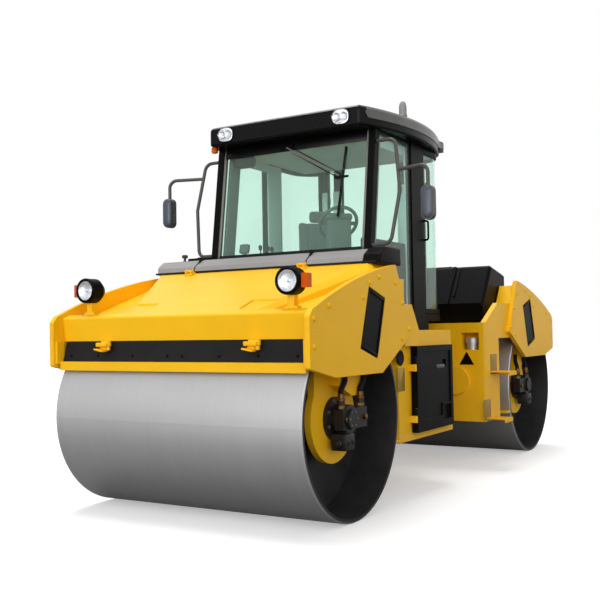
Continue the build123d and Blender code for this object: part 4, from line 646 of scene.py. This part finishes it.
for body, end in FRAMES:
    bolts = bmesh.new()
    unions = bmesh.new()
    for side in SIDES:
        bolt_ring(bolts, end, side, FLANGE_FACE, FLANGE_BOLTS, 0.5, FLANGE_RING, 0.012)
        bolt_ring(bolts, end, side, CAP_FACE, CAP_BOLTS, 0.0, CAP_RING, 0.008)
        for x in HOSE_X:
            hose = toward((end * x, side * HOSE_Y, UNION_FOOT), (0, 0, 1))
            lathe(unions, hose, UNION_NUT, 6)
            lathe(unions, hose, UNION_SLEEVE, 20)
            lathe(unions, toward((end * x, side * 1.035, AXLE_Z), (0, side, 0)), PORT_PLUG, 6)
    piece(body + "_motor_bolts", bolts, bolt_steel, body)
    piece(body + "_hose_unions", unions, brass, body)

# Valve blocks under the drum motors
VALVE_Z = 0.548
VALVE_PLUG = [(0.0, 0.030), (0.012, 0.030), (0.016, 0.022), (0.045, 0.020), (0.050, 0.0)]
for body, end in FRAMES:
    bm = bmesh.new()
    for side in SIDES:
        slab(bm, moved(end * 2.035, side * 0.990, VALVE_Z), (0.130, 0.120, 0.115), 0.010)
        slab(bm, moved(end * 2.010, side * 0.985, 0.620), (0.080, 0.090, 0.060), 0.006)
        for x in (2.005, 2.065):
            bolt(bm, (end * x, side * 1.050, VALVE_Z), (0, side, 0), 0.013)
        lathe(bm, toward((end * 2.100, side * 0.990, 0.540), (end, 0, 0)), VALVE_PLUG, 20)
    piece(body + "_valve_blocks", bm, cast, body)

# Bolts along the scraper mats
MAT_BOLT_Y = (-0.99, -0.72, -0.39, -0.07, 0.06, 0.375, 0.69, 0.99)
for body, end in FRAMES:
    bm = bmesh.new()
    for y in MAT_BOLT_Y:
        bolt(bm, (end * 2.6085, y, 1.150), (end * 0.962, 0.0, 0.271), 0.008)
    piece(body + "_mat_bolts", bm, black, body)

# Mirror shells
MIRROR_X = 1.09
MIRROR_Y = 1.27
MIRRORS = (("left", 1, 2.2725), ("right", -1, 2.3975))
SHELL_START = 0.02
SHELL_RINGS = ((0.0, 1.0), (0.030, 1.0), (0.044, 0.92), (0.052, 0.78), (0.056, 0.45))
for name, side, z in MIRRORS:
    mirror = facing(MIRROR_X, side * MIRROR_Y, z, 1)
    bm = bmesh.new()
    rings = []
    for height, share in SHELL_RINGS:
        tall = 1 - (1 - share) * 0.6
        outline = [(x * share, y * tall) for x, y in rounded(0.099, 0.264, 0.046)]
        rings.append([bm.verts.new(mirror @ Vector((x, y, height + SHELL_START))) for x, y in outline])
    skin(bm, rings)
    bm.faces.new(rings[-1])
    piece("mirror_shell_" + name, bm, shell_plastic, "front_frame")

# Windscreen: pale edges and a gasket
rise = (SCREEN_HEAD - SCREEN_FOOT).normalized()
face = Vector((rise.z, 0.0, -rise.x))
middle = (SCREEN_HEAD + SCREEN_FOOT) / 2
length = (SCREEN_HEAD - SCREEN_FOOT).length
tilt = Matrix((Vector((0, 1, 0)), rise, face)).transposed().to_4x4()


def on_screen(centre, y, out):
    """A placing on the windscreen: local X to the left, local Y up the glass, local Z out of it."""
    return Matrix.Translation(centre + Vector((0.0, y, 0.0)) + face * out) @ tilt


bm = bmesh.new()
for side in SIDES:
    slab(bm, on_screen(middle, side * (SCREEN_HALF - 0.012), 0.004), (0.024, length, 0.010), 0.004)
piece("windscreen_edges", bm, strip, "front_frame")
bm = bmesh.new()
for place in (SCREEN_FOOT + rise * 0.014, SCREEN_HEAD - rise * 0.014):
    slab(bm, on_screen(place, 0.0, 0.004), (2 * SCREEN_HALF, 0.028, 0.010), 0.004)
piece("windscreen_gasket", bm, rubber, "front_frame")

# Dark band on the top of the windscreen, a painted shadow of the roof, with a box behind its right end
bm = bmesh.new()
# The band is painted shade: a dark sheet where the roof shades the glass
slab(bm, on_screen(SCREEN_HEAD - rise * 0.048, 0.0, 0.010), (1.40, 0.090, 0.008), 0.003)
slab(bm, moved(0.90, -0.58, 2.825), (0.10, 0.22, 0.120), 0.045, 5)
piece("screen_shade_band_and_box", bm, roof_plastic, "front_frame")

# Inner trims of the front posts
bm = bmesh.new()
for side in SIDES:
    slab(bm, on_screen(middle, side * 0.700, -0.130), (0.030, length - 0.06, 0.150), 0.012, 3)
piece("front_post_trims", bm, trim_plastic, "front_frame")

# Pale strips on the edges of the wiper's two arms, painted highlights, from (Y, way down the glass) to the
# next
WIPER_ARM = ((-0.03, 0.09), (0.455, 0.352))
WIPER_OUT = 0.044
bm = bmesh.new()
for shift in (-0.0175, 0.0175):
    first, second = [SCREEN_HEAD - rise * (down + shift) + Vector((0.0, y + shift, 0.0)) + face * WIPER_OUT
                     for y, down in WIPER_ARM]
    along = second - first
    slab(bm, toward((first + second) / 2, along), (0.009, 0.009, along.length), 0.002)
piece("wiper_painted_highlights", bm, strip, "front_frame")

# Seat: stuffed cushion, back and headrest on a sprung base, in the seat's own frame
BELLOWS = 5
BELLOWS_SPACING = 0.036
PAD_VOXEL = 0.009
PAD_PRESSURE = 4.0
PAD_STEPS = 20
CHANNEL_WIDTH = 0.011
CHANNEL_DEPTH = 0.006
CHANNELS = (-0.125, 0.125)
seat_frame = Matrix.Translation(SEAT) @ Matrix.Rotation(SEAT_TURN, 4, "Z")


def evaluated(obj):
    """The mesh that an object's modifiers make."""
    graph = bpy.context.evaluated_depsgraph_get()
    return bpy.data.meshes.new_from_object(obj.evaluated_get(graph))


def swell(pad, cap):
    """Blows a pad up by a cloth simulation. No point moves farther than the cap."""
    before = [vert.co.copy() for vert in pad.data.vertices]
    cushion = pad.modifiers.new("swell", "CLOTH")
    cushion.settings.use_pressure = True
    cushion.settings.uniform_pressure_force = PAD_PRESSURE
    cushion.settings.effector_weights.gravity = 0.0
    cushion.settings.quality = 4
    for moment in range(1, PAD_STEPS + 1):
        bpy.context.scene.frame_set(moment)
    after = evaluated(pad)
    pad.modifiers.clear()
    for vert, old, swollen in zip(pad.data.vertices, before, after.vertices):
        move = swollen.co - old
        if move.length > cap:
            move = move.normalized() * cap
        vert.co = old + move
    bpy.context.scene.frame_set(1)


def stuffed(name, size, centre, cap, channels):
    """A stuffed pad: a rounded block, swollen as cloth, with sewn channels pressed into it."""
    bm = bmesh.new()
    slab(bm, Matrix.Identity(4), size, 0.035, 4)
    rough = bpy.data.meshes.new(name + "_rough")
    bm.to_mesh(rough)
    bm.free()
    pad = bpy.data.objects.new(name, rough)
    bpy.context.scene.collection.objects.link(pad)
    voxels = pad.modifiers.new("voxels", "REMESH")
    voxels.mode = "VOXEL"
    voxels.voxel_size = PAD_VOXEL
    pad.data = evaluated(pad)
    pad.modifiers.clear()
    swell(pad, cap)
    for vert in pad.data.vertices:
        dent = sum(math.exp(-(((vert.co.y - line) / CHANNEL_WIDTH) ** 2)) for line in channels)
        vert.co -= vert.normal * CHANNEL_DEPTH * dent
    pad.data.transform(seat_frame @ Matrix.Translation(centre))
    fine = pad.modifiers.new("fine", "SUBSURF")
    fine.levels = 1
    fine.render_levels = 1
    pad.data.polygons.foreach_set("use_smooth", [True] * len(pad.data.polygons))
    pad.data.materials.append(cloth)
    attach(pad, "front_frame")
    return pad


stuffed("seat_cushion", (0.44, 0.43, 0.085), (0.012, 0.0, 0.362), 0.022, CHANNELS)
stuffed("seat_back", (0.080, 0.45, 0.49), (-0.185, 0.0, 0.685), 0.022, CHANNELS)
stuffed("seat_headrest", (0.070, 0.20, 0.115), (-0.185, 0.0, 0.970), 0.014, ())
bm = bmesh.new()
slab(bm, seat_frame @ moved(0.0, 0.0, 0.025), (0.30, 0.30, 0.050), 0.010)
for level in range(BELLOWS):
    slab(bm, seat_frame @ moved(0.0, 0.0, 0.075 + BELLOWS_SPACING * level), (0.27, 0.27, 0.030), 0.013, 3)
slab(bm, seat_frame @ moved(0.0, 0.0, 0.270), (0.34, 0.34, 0.040), 0.010)
slab(bm, seat_frame @ moved(-0.232, 0.0, 0.640), (0.016, 0.36, 0.40), 0.007)
for side in SIDES:
    slab(bm, seat_frame @ moved(-0.060, side * 0.2625, 0.5775), (0.36, 0.052, 0.052), 0.020, 4)
    slab(bm, seat_frame @ moved(-0.215, side * 0.245, 0.540), (0.040, 0.020, 0.090), 0.006)
base = piece("seat_base", bm, rubber, "front_frame")
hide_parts("seat")

# Dashboard round the steering column, and a side console with a screen
dash = seat_frame @ moved(0.475, 0.0, 0.0)
bm = bmesh.new()
slab(bm, dash @ moved(0.075, -0.02, 0.43), (0.10, 0.22, 0.86), 0.030, 4)
slab(bm, dash @ moved(0.070, -0.02, 0.86) @ turned(-30.0, "Y"), (0.13, 0.24, 0.060), 0.025, 4)
slab(bm, moved(0.62, -0.625, 1.68), (0.62, 0.150, 0.48), 0.030, 4)
slab(bm, moved(0.86, -0.62, 1.97), (0.03, 0.03, 0.14), 0.008)
slab(bm, moved(0.86, -0.62, 2.05) @ turned(-15.0, "Y"), (0.045, 0.095, 0.085), 0.014, 3)
piece("cab_consoles", bm, trim_plastic, "front_frame")

# Dark panel beside the seat and levers on the side console
LEVERS = ((0.42, 8.0), (0.52, -4.0), (0.62, 6.0))
LEVER_PROFILE = [
    (0.0, 0.016), (0.02, 0.010), (0.10, 0.006), (0.13, 0.006), (0.14, 0.016), (0.17, 0.018), (0.185, 0.0),
]
bm = bmesh.new()
slab(bm, moved(0.585, 0.655, 1.75), (0.87, 0.070, 0.62), 0.025, 4)
for x, lean in LEVERS:
    lathe(bm, moved(x, -0.60, 1.92) @ turned(lean, "Y"), LEVER_PROFILE, 16)
piece("cab_dark_trim", bm, rubber, "front_frame")

# Linings of the cab's roof, rear posts, middle posts and eaves
bm = bmesh.new()
slab(bm, moved(0.28, 0.0, 2.914), (1.26, 1.40, 0.026), 0.010, 3)
for y in (-0.35, 0.35):
    slab(bm, moved(-0.392, y, 2.30), (0.014, 0.096, 0.80), 0.006)
for side in SIDES:
    slab(bm, moved(-0.392, side * 0.494, 2.30), (0.014, 0.060, 0.80), 0.006)
    slab(bm, moved(0.215, side * 0.710, 2.18), (0.232, 0.016, 1.44), 0.006)
    slab(bm, moved(0.61, side * 0.700, 2.865), (0.56, 0.016, 0.09), 0.006)
piece("cab_linings", bm, lining, "front_frame")

# Floor mat with ribs
MAT_RIBS = 16
MAT_SPACING = 0.076
bm = bmesh.new()
slab(bm, moved(0.32, 0.0, CAB_FLOOR + 0.006), (1.30, 1.30, 0.012), 0.004)
for index in range(MAT_RIBS):
    slab(bm, moved(-0.25 + MAT_SPACING * index, 0.0, CAB_FLOOR + 0.014), (0.020, 1.24, 0.006), 0.002)
piece("cab_floor_mat", bm, rubber, "front_frame")

# Clips under the beams: a slanting foot, a block and a stop beside each bracket
CLIP_Y = (-0.65, 0.65)
CLIP_STOP = [(0.0, 0.0), (0.0, 0.015), (0.03, 0.015), (0.03, 0.021), (0.066, 0.021), (0.066, 0.0)]
for body, end in FRAMES:
    bm = bmesh.new()
    for y in CLIP_Y:
        slab(bm, moved(end * 2.650, y - 0.006, 1.192) @ turned(-10.0, "X"), (0.060, 0.086, 0.012), 0.004)
        slab(bm, moved(end * 2.645, y + 0.010, 1.232), (0.040, 0.104, 0.030), 0.006)
        lathe(bm, toward((end * 2.632, y + 0.052, 1.192), (0, 0, 1)), CLIP_STOP, 16)
    piece(body + "_beam_clips", bm, yellow, body)

# Rims round the cover plates in the side panels
COVER = ((1.875, 1.614), (1.615, 1.535), (1.755, 1.103), (2.019, 1.182))
RIM_INSET = 0.10
RIM_SINK = 0.004
for body, end in FRAMES:
    corners = [Vector((end * x, 0.0, z)) for x, z in COVER]
    centre = sum(corners, Vector((0.0, 0.0, 0.0))) / len(corners)
    corners = [corner.lerp(centre, RIM_INSET) for corner in corners]
    bm = bmesh.new()
    for side in SIDES:
        outward = Vector((0.0, side * (PANEL_FACE - RIM_SINK), 0.0))
        for first, second in zip(corners, corners[1:] + corners[:1]):
            along = second - first
            bar = toward((first + second) / 2 + outward, along)
            slab(bm, bar, (0.016, 0.010, along.length + 0.012), 0.003)
    piece(body + "_cover_rims", bm, black, body)

# Round plugs and blank plates on the sides of the front chassis
CHASSIS_SIDE = 1.030
PLUG_PROFILE = [(0.0, 0.060), (0.008, 0.060), (0.013, 0.052), (0.009, 0.044), (0.009, 0.0)]
plugs = bmesh.new()
plates = bmesh.new()
for side in SIDES:
    lathe(plugs, toward((1.180, side * CHASSIS_SIDE, 1.09), (0, side, 0)), PLUG_PROFILE, 32)
    prism(plates, on_side(1.165, CHASSIS_SIDE, 0.925, side), rounded(0.130, 0.180, 0.010), 0.003, 0.001)
piece("chassis_plugs", plugs, rubber, "front_frame")
piece("chassis_plates", plates, plate_metal, "front_frame")

# Latches of the service doors
DOOR_FACE = 1.080
for side, body in ((1, "service_door_left"), (-1, "service_door_right")):
    latch = on_side(0.505, DOOR_FACE, 1.000, side)
    bm = bmesh.new()
    prism(bm, latch, rounded(0.170, 0.030, 0.010), 0.006, 0.002)
    prism(bm, latch @ moved(0.02, 0.0, 0.006), rounded(0.110, 0.012, 0.005), 0.003, 0.001)
    piece(body + "_latch", bm, bolt_steel, body)

# Grip plates above the steps
GRIPS = ((-0.785, 0.965), (-0.590, 0.550))
bm = bmesh.new()
for side in SIDES:
    for x, z in GRIPS:
        prism(bm, on_side(x, PANEL_INNER, z, side), rounded(0.180, 0.190, 0.008), 0.003, 0.001)
piece("step_grips", bm, hatch, "rear_frame")

# Black end of the cowl on the left, and the bar beside the knob
COWL_END = ((1.203, 1.925), (1.462, 1.925), (1.558, 1.866), (1.586, 1.794), (1.203, 1.794))
COWL_END_Y = 0.930
bm = bmesh.new()
prism(bm, on_side(0.0, COWL_END_Y, 0.0, 1), COWL_END, 0.140, 0.018, 4)
slab(bm, moved(1.285, -0.80, 1.935), (0.030, 0.24, 0.036), 0.008)
piece("cowl_ends", bm, black, "front_frame")

# Beacon in its own shape, and the amber lamp under the roof's right front corner
BEACON_FOOT = (0.35, 0.72, 3.060)
BEACON_PROFILE = [
    (0.0, 0.0), (0.0, 0.048), (0.034, 0.046), (0.042, 0.030), (0.090, 0.024), (0.096, 0.036),
    (0.112, 0.039), (0.118, 0.034), (0.190, 0.033), (0.215, 0.027), (0.232, 0.015), (0.239, 0.0),
]
bm = bmesh.new()
lathe(bm, toward(BEACON_FOOT, (0, 0, 1)), BEACON_PROFILE, 32)
beacon = piece("beacon_body", bm, grey, "front_frame")
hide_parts("beacon")
bm = bmesh.new()
slab(bm, moved(1.13, -0.738, 2.908), (0.05, 0.050, 0.055), 0.014, 3)
piece("roof_corner_lamp", bm, amber, "front_frame")

# Mirror glasses on the rear faces, raised backward
GLASS_RISE = -0.003
bm = bmesh.new()
for _, side, z in MIRRORS:
    pane = facing(MIRROR_X + 0.002, side * MIRROR_Y, z, 1)
    prism(bm, pane, rounded(0.084, 0.246, 0.034), GLASS_RISE, 0.001)
piece("mirror_glasses", bm, mirror_face, "front_frame")

# Fuel cap: silver lid
LID_FOOT = (-0.5975, 0.957, 1.209)
LID_PROFILE = [(0.0, 0.0), (0.0, 0.058), (0.004, 0.061), (0.010, 0.058), (0.012, 0.030), (0.012, 0.0)]
bm = bmesh.new()
lathe(bm, toward(LID_FOOT, (0, 0, 1)), LID_PROFILE, 40)
piece("fuel_lid", bm, alloy, "rear_frame")

# Ribs on the roof
RIB_SPACING = 0.16
bm = bmesh.new()
for index in range(-3, 4):
    y = RIB_SPACING * index
    ridge(bm, "cab_roof", [(x / 10, y, ABOVE) for x in range(-3, 11)], DOWN, 0.030, 0.008)
piece("roof_ribs", bm, roof_plastic, "front_frame", 20.0)

# Pale rim along the top edge of the roof, a mottled painted highlight (sheen) on the black roof, deep at its
# sides and back
ROOF_TOP = 3.095
ROOF_FRONT = 1.12
RIM_POINTS = 144
RIM_LEVELS = (0.10, 0.30, 0.50, 0.75, 1.0)
RIM_STAND = 0.005
RIM_DEEP = 0.100
RIM_SHALLOW = 0.020
bm = bmesh.new()
rings = []
for index in range(RIM_POINTS):
    angle = 2 * math.pi * index / RIM_POINTS
    way = Vector((math.cos(angle), math.sin(angle), 0.0))
    far = Vector((0.35, 0.0, ROOF_TOP)) + way * 3.0
    edge, _ = touch("cab_roof", far - Vector((0.0, 0.0, 0.012)), -way)
    deep = RIM_DEEP if edge.x < ROOF_FRONT else RIM_SHALLOW
    places = [touch("cab_roof", far - Vector((0.0, 0.0, deep * share)), -way)[0] for share in RIM_LEVELS]
    crest = Vector((places[0].x, places[0].y, ROOF_TOP + 0.003)) - way * 0.025
    ring = [crest - way * 0.030, crest] + [place + way * RIM_STAND for place in places]
    ring += [places[-1] - way * 0.008, places[0] - way * 0.020]
    rings.append([bm.verts.new(place) for place in ring])
skin(bm, rings + rings[:1])
piece("roof_painted_sheen", bm, roof_sheen_paint, "front_frame", 25.0)

# Bonnet: two grilles of slats and a rib beside each
GRILLE_X = -1.25
SLATS = 12
SLAT_SPACING = 0.026
bm = bmesh.new()
for y in (-0.30, 0.30):
    for index in range(SLATS):
        x = GRILLE_X - SLAT_SPACING * index
        ridge(bm, "engine_hood", [(x, y - 0.19 + 0.076 * k, ABOVE) for k in range(6)], DOWN, 0.022, 0.010)
    for edge in (y - 0.205, y + 0.205):
        line = [(GRILLE_X + 0.02 - 0.066 * k, edge, ABOVE) for k in range(6)]
        ridge(bm, "engine_hood", line, DOWN, 0.016, 0.012)
for edge in (-0.62, 0.62):
    ridge(bm, "engine_hood", [(-1.00 - 0.10 * k, edge, ABOVE) for k in range(6)], DOWN, 0.026, 0.010)
piece("bonnet_grilles", bm, roof_plastic, "engine_hood", 20.0)

# Caps with grips on the rear tank
CAP_GRIPS = 10
CAP_PROFILE = [
    (0.0, 0.0), (0.0, 0.085), (0.010, 0.085), (0.014, 0.072), (0.030, 0.070), (0.036, 0.062), (0.036, 0.0),
]
bm = bmesh.new()
for y in (-0.75, 0.75):
    cap = toward(*touch("rear_tank", (-2.15, y, ABOVE), DOWN))
    lathe(bm, cap, CAP_PROFILE, 32)
    for index in range(CAP_GRIPS):
        grip = cap @ turned(360.0 * index / CAP_GRIPS, "Z") @ moved(0.071, 0.0, 0.022)
        slab(bm, grip, (0.008, 0.018, 0.016), 0.002)
piece("tank_caps", bm, black, "rear_frame")

# Tail lamp bezels: four bars round each lamp and one across it
TAIL_BARS = (
    (0.0, 0.041, 0.220, 0.008), (0.0, -0.041, 0.220, 0.008), (0.106, 0.0, 0.008, 0.090),
    (-0.106, 0.0, 0.008, 0.090), (0.03, 0.0, 0.006, 0.082),
)
BEHIND = -4.0
TAIL_Y = 0.89
TAIL_Z = 1.3455
bm = bmesh.new()
for side in SIDES:
    place, _ = touch("tail_lamps", (BEHIND, side * TAIL_Y, TAIL_Z), (1, 0, 0))
    for y, z, wide, tall in TAIL_BARS:
        slab(bm, Matrix.Translation(place + Vector((-0.003, y, z))), (0.008, wide, tall), 0.002)
piece("tail_lamp_bezels", bm, black, "rear_frame")

# Gaskets round the fixed side panes
PANE = ((1.066, 1.452), (1.066, 1.945), (0.933, 2.920), (0.338, 2.920), (0.338, 1.452))
bm = bmesh.new()
for side in SIDES:
    place, _ = touch("cab_glass", (0.7, side * 2.0, 2.2), (0, -side, 0))
    corners = [Vector((x, place.y, z)) for x, z in PANE]
    for first, second in zip(corners, corners[1:] + corners[:1]):
        along = second - first
        slab(bm, toward((first + second) / 2, along), (0.014, 0.010, along.length), 0.003)
piece("side_pane_gaskets", bm, rubber, "front_frame")

# Floor: white to the camera, and darker to the light that bounces off it
WHITE = (1.0, 1.0, 1.0, 1.0)
FLOOR_HALF = 60.0
FLOOR_GLOW = 0.36
FLOOR_SEEN = 0.80
FLOOR_BOUNCE = 0.21
floor_corners = [(x * FLOOR_HALF, y * FLOOR_HALF, 0) for x, y in ((-1, -1), (1, -1), (1, 1), (-1, 1))]
floor_mesh = bpy.data.meshes.new("floor")
floor_mesh.from_pydata(floor_corners, [], [(0, 1, 2, 3)])
floor = bpy.data.objects.new("floor", floor_mesh)
bpy.context.scene.collection.objects.link(floor)
material, nodes, links = start("floor_white")
shader = nodes["Principled BSDF"]
shader.inputs["Roughness"].default_value = 0.9
shader.inputs["Specular IOR Level"].default_value = 0.1
seen = nodes.new("ShaderNodeLightPath")
lift = nodes.new("ShaderNodeEmission")
lift.inputs["Color"].default_value = WHITE
glow = nodes.new("ShaderNodeMath")
glow.operation = "MULTIPLY"
glow.inputs[1].default_value = FLOOR_GLOW
links.new(seen.outputs["Is Camera Ray"], glow.inputs[0])
bounce = nodes.new("ShaderNodeMapRange")
bounce.inputs["To Min"].default_value = FLOOR_BOUNCE
bounce.inputs["To Max"].default_value = FLOOR_SEEN
links.new(seen.outputs["Is Camera Ray"], bounce.inputs["Value"])
links.new(bounce.outputs["Result"], shader.inputs["Base Color"])
links.new(glow.outputs["Value"], lift.inputs["Strength"])
both = nodes.new("ShaderNodeAddShader")
links.new(shader.outputs["BSDF"], both.inputs[0])
links.new(lift.outputs["Emission"], both.inputs[1])
links.new(both.outputs["Shader"], nodes["Material Output"].inputs["Surface"])
floor_mesh.materials.append(material)

# World: white to the camera, in glass and in mirrors, and dimmer as a light
SKY_SEEN = 1.0
SKY_LIGHT = 0.50
world = bpy.data.worlds.new("studio")
bpy.context.scene.world = world
world.use_nodes = True
nodes, links = world.node_tree.nodes, world.node_tree.links
sky = nodes["Background"]
sky.inputs["Color"].default_value = WHITE
path = nodes.new("ShaderNodeLightPath")
plain = nodes.new("ShaderNodeMath")
plain.operation = "MAXIMUM"
links.new(path.outputs["Is Camera Ray"], plain.inputs[0])
links.new(path.outputs["Is Transmission Ray"], plain.inputs[1])
shown = nodes.new("ShaderNodeMath")
shown.operation = "MAXIMUM"
links.new(plain.outputs["Value"], shown.inputs[0])
links.new(path.outputs["Is Glossy Ray"], shown.inputs[1])
level = nodes.new("ShaderNodeMapRange")
level.inputs["To Min"].default_value = SKY_LIGHT
level.inputs["To Max"].default_value = SKY_SEEN
links.new(shown.outputs["Value"], level.inputs["Value"])
links.new(level.outputs["Result"], sky.inputs["Strength"])

# Lights

def sun(name, energy, spread_deg, source):
    """A broad soft light that comes from the given direction."""
    light = bpy.data.lights.new(name, "SUN")
    light.energy = energy
    light.angle = math.radians(spread_deg)
    obj = bpy.data.objects.new(name, light)
    obj.rotation_euler = Vector(source).to_track_quat("Z", "Y").to_euler()
    bpy.context.scene.collection.objects.link(obj)


sun("key", 2.0, 35.0, (-0.15, -0.2, 1.0))
sun("front", 1.45, 24.0, (1.0, -0.1, 0.04))
sun("side", 1.4, 60.0, (0.9, 0.75, 0.25))

# Camera, as fitted to the photo
FOCAL_PIXELS = 889.6
IMAGE_PIXELS = 600.0
YAW, PITCH, ROLL = 0.5462, 0.0347, -0.0161
CAMERA_PLACE = Vector((7.402, 3.9276, 1.3095))
ahead = Vector((-math.cos(YAW) * math.cos(PITCH), -math.sin(YAW) * math.cos(PITCH), math.sin(PITCH)))
across = Vector((-math.sin(YAW), math.cos(YAW), 0.0))
upward = across.cross(ahead)
right = math.cos(ROLL) * across + math.sin(ROLL) * upward
top = -math.sin(ROLL) * across + math.cos(ROLL) * upward
camera = bpy.data.cameras.new("camera")
camera.sensor_width = 36.0
camera.lens = camera.sensor_width * FOCAL_PIXELS / IMAGE_PIXELS
camera_object = bpy.data.objects.new("camera", camera)
pose = Matrix((right, top, -ahead)).transposed().to_4x4()
pose.translation = CAMERA_PLACE
camera_object.matrix_world = pose
bpy.context.scene.collection.objects.link(camera_object)
bpy.context.scene.camera = camera_object

bpy.context.scene.view_settings.view_transform = "Standard"
